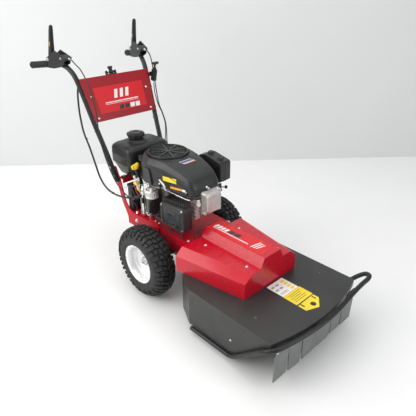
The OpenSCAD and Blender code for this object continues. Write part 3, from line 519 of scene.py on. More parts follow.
def build_tyre(side, name):
    # two raised lines run round the side wall
    outer = [(a + (0.9 if 127 < r < 129.5 or 141 < r < 143.5 else 0.0), r) for a, r in TYRE_FINE]
    section = [(-a, r) for a, r in reversed(outer)] + outer[1:]
    section += [(49.6, 99), (48.2, 93.4), (-48.2, 93.4), (-49.6, 99)]
    rings = [[wheel_point(side, 360 * k / 128, a, r) for k in range(128)] for a, r in section]
    skin(rings, loop=True)
    pitch = 360 / 20
    for i in range(20):
        t0 = i * pitch
        for s in (-1, 1):
            # the two sides of the tread are half a pitch apart
            o = t0 + (0 if s > 0 else pitch / 2)
            for high, rows, corners in LUGS:
                add_lug(side, [(o + u * pitch, s * t) for u, t in corners], high, rows)
    piece(name, "tyre_rubber", ("tyre_" + name[5:],), body="wheel_" + name[5:], angle=38)


def build_rim(side, where):
    section = [(-9, 26), (-9, 55), (-6.5, 58.5), (0, 65), (2, 68), (2, 77), (4, 79.5), (13, 80.5),
        (15.5, 83), (16, 87), (19, 88), (30, 88), (32, 86.4), (35, 86.4), (37, 88), (44, 88.3),
        (48.5, 92), (51.6, 97), (53.6, 101.5), (55.5, 103.6), (55.2, 104.6), (53.2, 104.4),
        (51.2, 100), (48.8, 94.6), (47.6, 92.6), (43, 92.4)]
    # the inner edge mirrors the outer one
    back = [(-a, r) for a, r in reversed(section[-11:])]
    back += [(10, 88), (8, 84), (-2, 82), (-3, 68), (-12, 60), (-14, 56), (-14, 26)]
    rings = [[wheel_point(side, 360 * k / 96, a, r) for k in range(96)] for a, r in section + back]
    skin(rings, loop=True)
    # eight small raised rings on the disc
    out = Vector((side, 0, 0))
    for k in range(8):
        c = wheel_point(side, 22.5 + 45 * k, 2.0, 72.5)
        lathe([(4.6, -1.5), (4.6, 0.5), (3.2, 0.9), (2.6, 0.1)], along(c, out), 16)
    piece("rim_form_" + where, "rim_paint", ("rim_" + where,), body="wheel_" + where,
        angle=50)
    # tyre valve through the barrel
    root = wheel_point(side, -62, 22, 87.5)
    tip = wheel_point(side, -62, 44, 74)
    lathe([(5.6, 0), (5.2, 2.5), (3.6, 5), (3.4, 17), (3.0, 18)], aim(root, tip), 20)
    d = (tip - root).normalized()
    lathe([(3.9, 0), (4.0, 1), (4.0, 6.5), (3.2, 8)], aim(root + d * 18, root + d * 28), 12,
        lobes=flutes(0.05, 6, -1, 9))
    piece("valve_stem_" + where, "cable_sheath", body="wheel_" + where)
    # hub cap with its dust cover, and the nuts over the studs
    base = wheel_point(side, 0, -9, 0)
    lathe([(25.5, 0), (25.5, 2), (24, 3.5), (23.6, 14), (22, 17.5), (17, 19), (9, 19.3), (8, 18.4),
        (4, 18.2)], along(base, out), 48)
    for k in range(4):
        c = wheel_point(side, 45 + 90 * k, -9, 42)
        m = along(c, out)
        lathe([(11, 0), (11, 1.4), (9.6, 2.2)], m, 24)
        lathe([(8.6, 1.6), (9, 2.2), (9, 7.6), (7.8, 9)], m, 6)
        lathe([(4.6, 8.5), (4.6, 12.2), (3.9, 13)], m, 18)
    piece("hub_trim_" + where, "zinc", body="wheel_" + where)
    slots_of("hub_" + where, "steel")


for side, where in ((1, "left"), (-1, "right")):
    build_tyre(side, "tyre_" + where)
    build_rim(side, where)

# ---- chassis ----
form_of("chassis_frame", "red_frame", 1.2)
form_of("handle_uprights", "red_frame", 1.6, 3)
form_of("gearbox", "iron", 3.0, 3)
form_of("belt_cover", "red_paint", 3.0, 4, 20)
form_of("spindle_housing", "iron", 1.5)
form_of("deck_shell", "deck_paint", 1.8, 3, 24)
form_of("muffler_guard", "muffler_paint", 0.5)
form_of("lever_brackets", "black_plastic", 1.5, 3)
form_of("throttle_housing", "black_plastic", 2.2, 3)
form_of("selector_bracket", "black_paint", 1.0)
form_of("selector_lever", "knob_plastic", 2.0, 3, body="selector_lever")
form_of("choke_lever", "black_plastic", 1.0, body="choke_lever")
form_of("blade_rotor", "steel", 0.8, body="rotor")
form_of("swing_blade_front", "steel", 1.2, body="blade_front")
form_of("swing_blade_rear", "steel", 1.2, body="blade_rear")
form_of("glide_dish", "black_paint", 0.8, body="glide")
form_of("idler_arm", "zinc", 0.8, body="idler_arm")
form_of("idler_pulley", "steel", 1.0, body="idler_pulley")
form_of("flywheel", "iron", 0.8, body="crank")
form_of("crankshaft", "steel", 0.6, body="crank")
form_of("drive_belt", "grip_rubber", 1.0)
form_of("carburettor", "cast_alloy", 2.0, 3)
slots_of("dome_bolts", "zinc")

# chassis hardware: angle plates, bosses and bolts beside the engine
for s in (-1, 1):
    side_plate(((24, 342), (96, 342), (96, 352), (84, 356), (36, 356), (24, 352)), s * 148 - 4,
        s * 148 + 2.5)
    block(ax(s * 128 - 20, 150, 342), ax(s * 128 + 20, 206, 347))
    block(ax(s * 136 - 14, -216, 342), ax(s * 136 + 14, -188, 346))
for x, y in ((-138, 30), (-138, 60), (138, 30), (138, 60)):
    lathe([(9, 342), (9, 350), (7.5, 352)], place(x, y, 0), 24)
piece("chassis_plates", "red_frame", bevel=1.0)

bolts(((-138, 30, 352), (-138, 60, 352), (138, 30, 352), (138, 60, 352), (-96, 30, 358),
    (96, 30, 358), (-96, 150, 358), (96, 150, 358), (-140, -202, 346), (140, -202, 346)),
    (0, 0, 1), 5.5, 4.5)
for s in (-1, 1):
    bolts(((s * 158, 204, 306), (s * 158, 60, 306)), (s, 0, 0), 7.0, 5.5)
piece("chassis_bolts", "zinc", bevel=0.3, segments=2)

# weld beads along the feet of the uprights
for s in (-1, 1):
    for y0, y1, z in ((20, 52, 342.5), (70, 102, 342.5), (150, 182, 342.5), (190, 226, 342.5)):
        weld([ax(s * 152, y0 + (y1 - y0) * k / 14, z) for k in range(15)], 2.4, 0.7)
piece("weld_beads", "red_frame")

# ---- belt cover graphics ----
RIDGE_TOP = 402.0         # top face of the belt cover


def plan_decal(pts, z, thick=0.35):
    prism(pts, z - 0.1, z + thick, "z")


plan_decal(round_rect(100, 345, 3, cx=0, cy=AXLE_Y - 405), RIDGE_TOP)
piece("ridge_film", "red_ridge")


def slant(x0, x1, y0, y1, lean=6.0):
    """Parallelogram bar on the ridge: x is across, y runs forward from the axle."""
    y0, y1 = y0 + AXLE_Y, y1 + AXLE_Y
    return [(x0, y0), (x1, y0 - lean), (x1, y1 - lean), (x0, y1)]


def ridge_print(mat, *bars):
    for b in bars:
        plan_decal(slant(*b), RIDGE_TOP + 0.35, 0.25)
    piece("ridge_" + mat, mat)


ridge_print("print_white", *[(-13, 12, y, y - 15) for y in (-250, -272, -294, -316)],
    (-21, -17.5, -252, -480, 0), (-25, -23.6, -252, -480, 0),
    *[(-30 + 3 * k, 32 - 3 * k, -500 - 14 * k, -506 - 14 * k, 12) for k in range(3)])
ridge_print("print_black", (-13, 14, -340, -372), (-13, 16, -378, -408))

# ---- deck ----
BUMPER = [(-310, 153, 34), (-310, 60, 34), (-310, -60, 35), (-312, -104, 42), (-315, -148, 74),
    (-318, -210, 132), (-320, -270, 188), (-314, -304, 212), (-286, -326, 217), (-220, -342, 219),
    (-120, -358, 221), (0, -366, 222), (120, -360, 224), (220, -350, 228), (300, -346, 234),
    (352, -348, 240), (380, -340, 242), (386, -318, 238), (366, -296, 226), (338, -272, 204),
    (322, -240, 170), (318, -200, 130), (315, -148, 74), (312, -104, 42), (310, -60, 35),
    (310, 60, 34), (310, 153, 34)]
tube(curve_points(BUMPER, 8), 11.0, 20)
piece("bumper_form", "black_paint", ("bumper_tube",))
# welded saddles that hold the bumper to the deck's sides and lip
for s in (-1, 1):
    for y in (120, 20, -60):
        weld([(s * 305.5, y - 16 + 2 * k, 40) for k in range(17)], 2.2, 0.6)
for x in (-200, -60, 80, 210):
    yy = -352 + (x / 305) ** 2 * 47
    weld([(x - 14 + 2 * k, yy - 1.5, 214) for k in range(15)], 2.2, 0.6)
piece("bumper_welds", "black_paint")

# label on the deck: plain fields, bars and a disc
DECK_TOP = 241.0


def deck_film(name, mat, outlines, z=DECK_TOP + 0.5, thick=0.2, covers=()):
    for pts in outlines:
        plan_decal(pts, z, thick)
    piece("deck_" + name, mat, covers)


deck_film("film_white", "print_white", [round_rect(110, 94, 2.5, cx=15, cy=-111)], DECK_TOP, 0.5,
    ("deck_label",))
deck_film("film_yellow", "print_yellow", [round_rect(117, 74, 2.5, cx=17, cy=-196),
    [(-42, -240), (72, -238), (72, -268), (20, -306), (-42, -282)]], DECK_TOP, 0.5)
lines = [(-28 + 5 * (k % 2), 58 - 9 * (k % 3), -172 - 11 * k) for k in range(5)]
deck_film("print_black", "print_black",
    [*[[(x0, y), (x1, y), (x1, y - 2), (x0, y - 2)] for x0, x1, y in lines],
    [(18 + 13 * cos(a), -276 + 13 * sin(a)) for a in circle(32)],
    *[round_rect(7, 22, 1, cx=x, cy=-252) for x in (-26, 56)]])
deck_film("print_grey", "print_grey", [round_rect(w, d, 1.5, cx=x, cy=y) for x, y, w,
    d in ((-22, -86, 20, 12), (6, -86, 20, 12), (-22, -112, 20, 12), (6, -112, 20, 12),
    (-8, -138, 48, 4), (-8, -146, 48, 3))])
deck_film("print_amber", "print_yellow", [round_rect(24, 14, 3, cx=48, cy=y)
    for y in (-84, -104, -124, -144)])


def build_flap(name, x0, x1, n0, n1, cuts, seed, step=None):
    """Hanging rubber sheet with slits, a slight wave and a thickened top edge."""
    r = random.Random(seed)
    phase = [r.uniform(0, 6.28) for _ in range(4)]
    edges = [x0, *cuts, x1]
    top, bottom = 184.0, 38.0

    def wave(x, z):
        d = (top - z) / (top - bottom)
        return d * (1.3 * sin(x / 34 + phase[0]) + 0.7 * sin(x / 13 + z / 40 + phase[1]))

    for i in range(len(edges) - 1):
        a, b = edges[i], edges[i + 1]
        lean = r.uniform(-2.4, 2.4)
        cols, rows = max(3, int((b - a) / 9)), 14
        g = {}
        for j in range(rows + 1):
            z = top + (bottom - top) * j / rows
            f = (top - z) / (top - bottom)
            xa = a + (n0 * f if i == 0 else 4.6 * f ** 1.2 + 0.3)
            xb = b - (n1 * f if i == len(edges) - 2 else 4.6 * f ** 1.2 + 0.3)
            for k in range(cols + 1):
                x = xa + (xb - xa) * k / cols
                zz = z
                if step and j == rows and step[0] < x < step[1]:
                    zz = z + step[2]
                y = -320.0 + wave(x, z) * 0.8 + lean * f
                g[j, k, 0] = bm.verts.new((x, y - 2.1, zz))
                g[j, k, 1] = bm.verts.new((x, y + 2.1, zz))
        for j in range(rows):
            for k in range(cols):
                bm.faces.new((g[j, k, 0], g[j + 1, k, 0], g[j + 1, k + 1, 0], g[j, k + 1, 0]))
                bm.faces.new((g[j, k, 1], g[j, k + 1, 1], g[j + 1, k + 1, 1], g[j + 1, k, 1]))
            bm.faces.new((g[j, 0, 0], g[j, 0, 1], g[j + 1, 0, 1], g[j + 1, 0, 0]))
            bm.faces.new((g[j, cols, 0], g[j + 1, cols, 0], g[j + 1, cols, 1], g[j, cols, 1]))
        for k in range(cols):
            bm.faces.new((g[0, k, 0], g[0, k + 1, 0], g[0, k + 1, 1], g[0, k, 1]))
            bm.faces.new((g[rows, k, 0], g[rows, k, 1], g[rows, k + 1, 1], g[rows, k + 1, 0]))
    tube([(x0 + (x1 - x0) * k / 12, -320, 182) for k in range(13)], 3.4, 14)
    piece(name + "_sheet", "grey_rubber_with_painted_sheen", (name,), body=name, angle=40)


build_flap("flap_right", -292, -107, 0, 13, (-200,), 3)
build_flap("flap_centre", -105, 105, 4, 4, (), 4, step=(86, 110, 9))
build_flap("flap_left", 107, 291, 13, 4, (196,), 5)
# clamp strip over the flaps' top edges, with its bolts
prism(round_rect(584, 15, 1.5, cx=0, cy=197), -325.2, -322, "y")
piece("flap_strip", "grey_rubber_with_painted_sheen", bevel=0.6)
for x in (-282, 282):
    dome_head((x, -325.2, 197), (0, -1, 0), 5.2, 3.4)
piece("flap_end_bolts", "zinc")
for x in (-206, -150, -60, 60, 150, 206):
    dome_head((x, -325.2, 197), (0, -1, 0), 4.2, 2.8)
for x, y in ((-229, -162), (229, -162), (-170, 285), (170, 285)):
    dome_head((x, y, 241), (0, 0, 1), 5.0, 3.0)
piece("deck_bolts", "dull_zinc")

# ---- handlebar ----
TUBE = [(171.5, 339, 498), (183, 403, 650), (199, 468, 800), (213, 527, 945), (223, 565, 1030),
    (234, 604, 1070), (246, 650, 1086), (256, 700, 1086), (266, 738, 1082), (309, 858, 1066)]
for side, where in ((1, "left"), (-1, "right")):
    tube(curve_points([ax(side * x, y, z) for x, y, z in TUBE], 8), 13.0, 28)
    piece("handle_form_" + where, "black_paint", ("handle_tube_" + where,))

# grips: ribbed rubber sleeves with a collar and a domed end
for side in (1, -1):
    e = Vector(ax(side * 309, 858, 1066))
    d = (e - Vector(ax(side * 266, 738, 1082))).normalized()
    m = aim(e - 128 * d, e)
    prof = [(13.2, 0), (19.0, 0.2), (20, 1.4), (20, 3.8), (18.6, 5.2), (16.6, 6.4)]
    for i in range(10):
        z = 10 + i * 10.6
        prof += [(16.6, z), (17.9, z + 1.3), (17.9, z + 6.0), (16.6, z + 7.4)]
    prof += [(16.6, 119), (18.4, 121.5), (18.6, 129), (17.0, 132.4), (13.5, 133.8), (6, 134)]
    lathe(prof, m, 48, lobes=flutes(0.02, 2, 8, 118))
piece("grip_form", "grip_rubber", ("hand_grips",), angle=50)

# pivots of the levers: pin heads, a spring and the cable's adjuster
PIVOT = (263, 727, 1108)


def pivot_matrix(side):
    return place(side * PIVOT[0], PIVOT[1], PIVOT[2]) \
        @ spin(-10 * side, "Z")


for side in (1, -1):
    m = pivot_matrix(side)
    for s in (1, -1):
        a = m @ Vector((s * 21, 0, 0))
        hex_bolt(a, m.to_3x3() @ Vector((s, 0, 0)), 5.5, 4.0)
        b = m @ Vector((s * 21, -110, 14))
        hex_bolt(b, m.to_3x3() @ Vector((s, 0, 0)), 4.0, 3.2)
    # torsion spring round the pin
    pts = [m @ Vector((-11.6 + 0.9 * t / 6.283, 7.4 * cos(t), 7.4 * sin(t)))
        for t in [k * 0.45 for k in range(28)]]
    tube(pts, 0.8, 6)
    # adjuster on the cable
    c0, c1 = ax(side * 238, 585, 1124), ax(side * 233, 566, 1119)
    lathe([(5.0, -8), (5.0, -2), (3.6, -1.6), (3.6, 6), (5.6, 6.4), (5.6, 10), (3.9, 10.6),
        (3.9, 20), (3.4, 21)], aim(c0, c1), 12)
piece("lever_hardware", "zinc")

for side, where in ((1, "left"), (-1, "right")):
    m = pivot_matrix(side) @ spin(13, "X")
    lathe([(8.5, -13), (10, -12), (10, 12), (8.5, 13)], m @ spin(90, "Y"), 32)
    rings = []
    for z, hx, y0, y1 in ((5, 10, -20, 6), (8, 12, -22, 7), (30, 12, -21, 6.8),
            (80, 11.6, -15, 5.6), (130, 11.2, -10, 4.4), (150, 11, -8.4, 4),
            (163, 10.4, -7.8, 3.6), (170, 8, -6.6, 2.6), (173, 4, -4.6, 1)):
        rr = min(4.5, hx * 0.45, (y1 - y0) * 0.45)
        rings.append([m @ Vector((p[0], p[1], z)) for p in round_rect(2 * hx, y1 - y0, rr, 5,
            cy=(y0 + y1) / 2)])
    skin(rings)
    piece("lever_form_" + where, "black_plastic", ("lever_" + where,),
        body="lever_" + where, angle=36)
    for x in (-11.8, 11.8):
        t = m @ Matrix.Translation((x, -5, 80)) @ spin(90, "Y")
        prism(round_rect(22, 8, 1.5), -0.35, 0.35, "z", t)
    piece("lever_badge_" + where, "brass", body="lever_" + where)

# throttle: housing seam and bolts, and the T-shaped knob
FOOT = place(243, 517, 958) @ spin(13, "X")
prism(round_rect(27.2, 29.2, 7.4, 5), 29.5, 31.5, "z", FOOT)
lathe([(11.4, 60.5), (11.6, 62), (11.6, 65), (10.6, 66.2)], FOOT, 32)
for z in (10, 50):
    for x in (-8, 8):
        dome_head(FOOT @ Vector((x, -14, z)), FOOT.to_3x3() @ Vector((0, -1, 0)), 2.6, 1.8)
piece("throttle_trim", "knob_plastic")
lathe([(3.9, 40), (3.9, 80), (6.2, 82), (7.6, 88), (8.8, 95), (9.4, 97)], FOOT, 28)
stack([(z, 2 * x, 2 * y, 0.8 * y) for z, x, y in ((94.5, 20, 5.5), (96.5, 23, 7.2), (99, 24, 8),
    (103.5, 24, 8), (105.6, 22.6, 6.8), (106.2, 20, 5))], FOOT, 6)
piece("throttle_knob_form", "knob_plastic", ("throttle_knob",),
    body="throttle_knob", angle=40)

# ---- control panel ----
PANEL = place(0, 453, 808) @ spin(-22, "X")
BOT, TOPW, HIGH = 197.0, 218.0, 232.0
face = [(-BOT, 3), (-BOT + 3, 0), (BOT - 3, 0), (BOT, 3), (TOPW, HIGH - 3), (TOPW - 3, HIGH),
    (-TOPW + 3, HIGH), (-TOPW, HIGH - 3)]
prism(face, 0.0, 2.0, "y", PANEL)
block((-BOT + 22, 0.5, 0), (BOT - 22, 20, 2.5), PANEL)
block((-TOPW + 22, 0.5, HIGH - 2.5), (TOPW - 22, 24, HIGH), PANEL)
piece("panel_form", "dark_red", ("control_panel",), bevel=0.7, segments=2)


def panel_print(mat, *bars):
    """Leaning bars (x0, x1, z0, z1, lean) printed on the panel's film."""
    for x0, x1, z0, z1, lean in bars:
        prism([(x0, z0), (x1, z0), (x1 + lean, z1), (x0 + lean, z1)], -0.4, -0.8, "y", PANEL)
    piece("panel_" + mat, mat)


prism([(-150, 40), (-147, 37), (147, 37), (150, 40), (158, 172), (155, 175), (-155, 175),
    (-158, 172)], 0.1, -0.5, "y", PANEL)
piece("panel_film", "red_label", ("panel_label",))
panel_print("print_white", *[(x, x + 20, 106, 152, 14) for x in (-46, -10, 26)],
    (-106, 104, 86, 91, 1), (-106, 104, 79, 81, 0), (40, 68, 42, 66, 4), (75, 103, 42, 66, 4))
panel_print("print_black", (-30, -2, 42, 66, 4), (5, 33, 42, 66, 4))
# clips that hold the panel to the tubes
for s in (-1, 1):
    for z in (17, 134, 205):
        x = s * (176 + 0.09 * z)
        block((min(x, x + s * 30), 2, z - 7), (max(x, x + s * 30), 4.2, z + 7), PANEL)
piece("panel_clips", "black_paint", bevel=0.6)

# ---- cables ----
ROUTES = {
    "lever_cable_right": (3.0, [
        (-238, 585, 1124), (-233, 562, 1118), (-228, 538, 1100), (-224, 493, 1073),
        (-221, 449, 1016), (-217, 426, 949), (-213, 412, 880), (-210, 413, 785),
        (-208, 405, 704), (-204, 366, 602), (-200, 306, 512), (-182, 240, 450),
        (-156, 214, 410), (-146, 212, 380), (-146, 212, 342)]),
    "lever_cable_left": (3.0, [
        (238, 585, 1124), (246, 574, 1118), (258, 562, 1094), (266, 556, 1056),
        (268, 546, 1000), (262, 528, 940), (250, 500, 880), (238, 470, 828), (234, 436, 785),
        (230, 406, 735), (226, 394, 680), (214, 376, 612), (200, 320, 540), (182, 244, 466),
        (156, 214, 414), (146, 212, 380), (146, 212, 342)]),
    "loom": (5.0, [
        (-206, 574, 990), (-214, 576, 948), (-216, 580, 890), (-216, 580, 828),
        (-216, 563, 738), (-215, 519, 657), (-214, 484, 579), (-212, 449, 500),
        (-208, 396, 452), (-196, 330, 432), (-172, 258, 430), (-152, 206, 446),
        (-139, 178, 462)]),
    "throttle_cable": (2.5, [
        (243, 517, 956), (238, 508, 930), (230, 494, 896), (226, 466, 836), (224, 429, 791),
        (218, 396, 739), (212, 386, 690), (200, 376, 620), (186, 320, 570), (168, 230, 530),
        (150, 110, 506), (140, 0, 496), (134, -58, 498)]),
    "fuel_line": (4.5, [
        (100, 262, 600), (100, 250, 598), (102, 236, 560), (106, 210, 516), (108, 140, 490),
        (110, 60, 484), (110, 0, 484), (108, -36, 484), (104, -60, 484)]),
    "plug_wire": (3.5, [
        (-86, -176, 546), (-92, -160, 545), (-93, -120, 540), (-93, -60, 538),
        (-91, -16, 540), (-80, 4, 541), (-68, 16, 541)]),
}
ROUTE_PTS = {}
COVERS = {"lever_cable_right": ("lever_cables",), "loom": ("throttle_cables",),
    "fuel_line": ("fuel_hose",), "plug_wire": ("plug_lead",)}
for key, (r, pts) in ROUTES.items():
    P = route(pts, 9)
    ROUTE_PTS[key] = P
    tube(P, r, 14)
    piece(key, "cable_sheath", COVERS.get(key, ()))

# metal ends of the cables, and ties that bind them to the tubes
for key, i, q in (("lever_cable_right", -1, 4.2), ("lever_cable_left", -1, 4.2),
        ("throttle_cable", 0, 3.8), ("throttle_cable", -1, 3.8)):
    P = ROUTE_PTS[key]
    a, b = (P[0], P[3]) if i == 0 else (P[-1], P[-4])
    m = aim(a, b)
    lathe([(q, -0.5), (q, 9), (q - 0.8, 10), (q - 0.8, 13), (q - 0.4, 14), (q - 1, 15)], m, 20)
for s in (-1, 1):
    lathe([(8, 342), (8, 346), (6, 348), (6, 356), (5, 358)], place(s * 146, 212, 0), 6)
piece("cable_ends", "zinc")


def tie(centre, direction, r, w=3.2):
    """Flat nylon band round a bundle, with its head."""
    m = along(centre, direction)
    thick = 1.1
    lathe([(r, -w / 2), (r + thick, -w / 2), (r + thick, w / 2), (r, w / 2)], m, 28, loop=True)
    block((r - 0.4, -2.6, -2.8), (r + 3.4, 2.6, 2.8), m)


T = route(TUBE)
for i in (14, 26):
    for s in (-1, 1):
        c = Vector((s * T[i].x, T[i].y, T[i].z))
        d = Vector((s * (T[i + 1].x - T[i].x), T[i + 1].y - T[i].y, T[i + 1].z - T[i].z))
        tie(c, d, 13.3)
for key, idx in (("loom", 40), ("loom", 78), ("lever_cable_right", 100)):
    P = ROUTE_PTS[key]
    tie(P[idx], P[idx + 1] - P[idx], ROUTES[key][0] + 0.3, 2.6)
piece("cable_ties", "tie_nylon")

# ---- engine ----
form_of("cylinder", "cast_alloy", 0.8)
form_of("engine_block", "block_alloy", 2.5, 3)

# blower housing: closed loops round the crankshaft, from the lower lip up to the grille
CX, CY = 0.0, 105.0       # crankshaft, y from the axle


def arc(x, y, r, start, step, n):
    """Points on an arc, with start and step in degrees."""
    return [(x + r * cos(a), y + r * sin(a)) for a in (radians(start + step * k)
        for k in range(n))]


# plan of the housing round the crankshaft: a half circle, then two corners at the front
FRONT, CORNER = -188.0 - CY, 26.0
PLAN = (arc(0, 0, 142.0, 0, 4, 46) + arc(-98 + CORNER, FRONT + CORNER, CORNER, 180, 15, 7)
    + arc(92 - CORNER, FRONT + CORNER, CORNER, 270, 15, 7))


def outline(theta):
    """Plan radius of the housing seen from the crankshaft in direction theta (0 is +X)."""
    c, s = cos(theta), sin(theta)
    best = 0.0
    for (x0, y0), (x1, y1) in zip(PLAN, PLAN[1:] + PLAN[:1]):
        dx, dy = x1 - x0, y1 - y0
        den = c * dy - s * dx
        if abs(den) < 1e-9:
            continue
        t = (x0 * dy - y0 * dx) / den
        u = (x0 * s - y0 * c) / den
        if t > 0 and -1e-6 <= u <= 1 + 1e-6:
            best = max(best, t)
    return best


def lerp_table(table, y):
    if y >= table[0][0]:
        return table[0][1]
    for (y0, z0), (y1, z1) in zip(table, table[1:]):
        if y >= y1:
            f = (y0 - y) / (y0 - y1)
            f = f * f * (3 - 2 * f) * 0.35 + f * 0.65
            return z0 + (z1 - z0) * f
    return table[-1][1]


SHOULDER = [(70, 664), (0, 659), (-60, 648), (-110, 632), (-150, 614), (-175, 598), (-190, 588)]
CREST = [(40, 686), (0, 682), (-40, 673), (-90, 659), (-130, 646), (-158, 633), (-176, 618),
    (-190, 606)]
THETAS = circle(128)
SEAT_R, SEAT_Z = 111.0, 686.0     # radius and height of the grille's seat
HOUSING_TOP = 687.5
CREST_INSET = 25.0                # from the outline in to the crest line


def skirt_ring(grow, z=None, drop=0.0):
    """Loop of the housing's side, level at z or following the shoulder."""
    def point(t):
        r = outline(t) + grow
        x, y = CX + r * cos(t), CY + r * sin(t)
        return ax(x, y, lerp_table(SHOULDER, y) + drop if z is None else z)
    return [point(t) for t in THETAS]


def crest_height(y, y0, blend):
    """Height of the housing's top at y, between the crest line at y0 and the grille's seat."""
    front = max(0.0, min(1.0, (-y + 20) / 60))
    z = lerp_table(CREST, y) * 0.92 + 0.08 * (lerp_table(CREST, y0) * (1 - blend) + SEAT_Z * blend)
    return min(z + 3.0 * sin(pi * blend) * front, HOUSING_TOP)


def inner_ring(blend, inset):
    """Ring between the crest line (blend 0) and the grille's seat (blend 1)."""
    def point(t):
        r0 = outline(t) - inset
        r = r0 + (SEAT_R - r0) * blend
        y = CY + r * sin(t)
        return ax(CX + r * cos(t), y, crest_height(y, CY + r0 * sin(t), blend))
    return [point(t) for t in THETAS]


rings = [skirt_ring(-4.0, 566.0), skirt_ring(-3.5, 558.5), skirt_ring(1.4, 558.5),
    skirt_ring(1.4, 565.0), skirt_ring(-0.2, 567.0), skirt_ring(-0.4, drop=-22),
    skirt_ring(-1.0, drop=-5), skirt_ring(-3.5, drop=1.5), inner_ring(0.0, 22.0)]
rings += [inner_ring(b, CREST_INSET) for b in (0.03, 0.2, 0.4, 0.6, 0.8, 0.95)]
for r, z in ((111.0, 687.0), (109.8, 685.5), (109, 683.0), (104, 682.4), (98, 682.2), (96, 678)):
    rings.append([ax(CX + r * cos(t), CY + r * sin(t), z) for t in THETAS])
skin(rings, caps=False)
obj = piece("blower_form", "engine_plastic", ("blower_housing",), angle=38)
mod = obj.modifiers.new("wall", "SOLIDIFY")
mod.thickness = 2.5 * MM
mod.offset = -1

# raised panel lines, screw bosses and the duct on the housing's near side
side_path = [(-134, 60, 640), (-127, 0, 636), (-116, -60, 624), (-107, -115, 604),
    (-101, -160, 584)]
tube(route(side_path), 1.6, 8)
for x, y, z, r in ((-129, 20, 572, 9), (-103, -150, 572, 8), (-112, 175, 572, 9),
        (126, 10, 572, 9), (112, 190, 572, 9), (-20, 244, 572, 9)):
    lathe([(r + 1.5, -12), (r + 1, -6), (r, 4), (r - 1, 5)], place(x, y, z), 24)
side_plate(((130, 560), (130, 632), (118, 642), (92, 642), (80, 630), (66, 560)), -146, -132)
# lug behind the grille, on the operator's side
lug = arc(-92, AXLE_Y + 210, 17, 57, 15, 13) + arc(-60, AXLE_Y + 190, 17, 237, 15, 13)
prism(lug, 640, 663.5, "z")
piece("blower_ribs", "engine_plastic", bevel=2.5, segments=3)
bolts(((-129, 20, 577), (-103, -150, 577), (-112, 175, 577), (126, 10, 577), (112, 190, 577)),
    (0, 0, 1), 4.5, 4.0)
dome_head(ax(-4, -189, 588), (0, -1, 0.2), 5.5, 4.0)
piece("blower_bolts", "zinc")

# fan grille: rim with teeth, eight spokes, rings and fine radial bars
G = place(CX, CY, 0)
lathe([(105, 684), (105, 692.6), (104, 696), (101.5, 697.8), (99, 697.4), (97.2, 694),
    (96.6, 684)], G, 96, loop=True)
for k in range(60):
    m = G @ Matrix.Rotation(2 * pi * k / 60, 4, "Z")
    block((103.4, -2.1, 684), (108, 2.1, 694.2), m, 0.6)
for k in range(8):
    m = G @ Matrix.Rotation(2 * pi * k / 8 + pi / 8, 4, "Z")
    prism([(12, -5), (12, 5), (98.5, 3.2), (98.5, -3.2)], 688, 696.6, "z", m)
for r in (32, 48, 64, 80):
    lathe([(r - 1.4, 689), (r - 1.4, 694.2), (r + 1.4, 694.2), (r + 1.4, 689)], G, 72, loop=True)
for k in range(96):
    m = G @ Matrix.Rotation(2 * pi * (k + 0.5) / 96, 4, "Z")
    block((28 if k % 2 else 46, -0.9, 688.5), (98, 0.9, 693.4), m)
lathe([(17, 687), (17, 695), (15, 698), (9, 698.0), (6, 696.6), (0.5, 696.4)], G, 40)
piece("grille_form", "engine_plastic", ("fan_grille",), angle=40)

# air cleaner: moulded box with a lid, a seam and two knobs
BOX = [(43, 554), (43, 646), (31, 657), (-12, 671.5), (-121, 650.5), (-129.5, 641), (-130.5, 547),
    (-109, 533), (20, 543)]
rings = []
BOX_Y, BOX_Z = -44.0, 604.0      # middle of the box, from which each ring is scaled
for x, k in ((150, 0.95), (153, 0.985), (160, 0.995), (186, 0.995), (188, 1.01), (193, 1.01),
        (195, 0.995), (218, 0.99), (225, 0.965), (228, 0.91)):
    rings.append([ax(x, BOX_Y + (y - BOX_Y) * k, BOX_Z + (z - BOX_Z) * k) for y, z in BOX])
skin(rings)
piece("air_cleaner_form", "engine_plastic", ("air_cleaner",), bevel=5.0,
    segments=4, angle=25)
for y, z in ((-22, 669.5), (-94, 656)):
    m = place(186, y, z)
    lathe([(16, -8), (16, 0.6), (15.2, 1.6), (15.2, 8), (14, 10.6), (10.5, 11.6), (9, 10.6),
        (3, 10.4)], m, 60, lobes=flutes(0.04, 12, 1.2, 9))
piece("air_cleaner_knobs", "knob_plastic", angle=40)
beam(34, 30, 8, -31, 523, 92, 172)
beam(40, 30, 8, -31, 540, 146, 170)
for x in (100, 160):
    beam(38, 34, 9, -31, 523, x, x + 5)
piece("intake_elbow", "black_plastic", bevel=1.5)
# throttle plate's knob and bracket beyond the head
lathe([(3, 0), (3, 26), (6, 28), (9, 31), (9, 38), (7, 40)],
    aim(ax(150, -128, 520), ax(196, -146, 512)), 24)
block(ax(128, -132, 508), ax(156, -124, 540))
lathe([(7, 0), (8, 2), (8, 18), (6, 20)], aim(ax(140, -128, 516), ax(140, -150, 508)), 20)
piece("control_knob", "knob_plastic", angle=40)

# muffler: sloping box with a pressed emboss, a seam, an outlet and a ribbed shield on top


def soften(pts, r, n=5):
    """Outline with its corners rounded, n + 1 points at each."""
    out = []
    for k, p in enumerate(pts):
        p = Vector(p)
        a, b = Vector(pts[k - 1]), Vector(pts[(k + 1) % len(pts)])
        a, b = p + (a - p).normalized() * r, p + (b - p).normalized() * r
        out += [a * (1 - t) ** 2 + p * 2 * t * (1 - t) + b * t * t
            for t in (i / n for i in range(n + 1))]
    return out


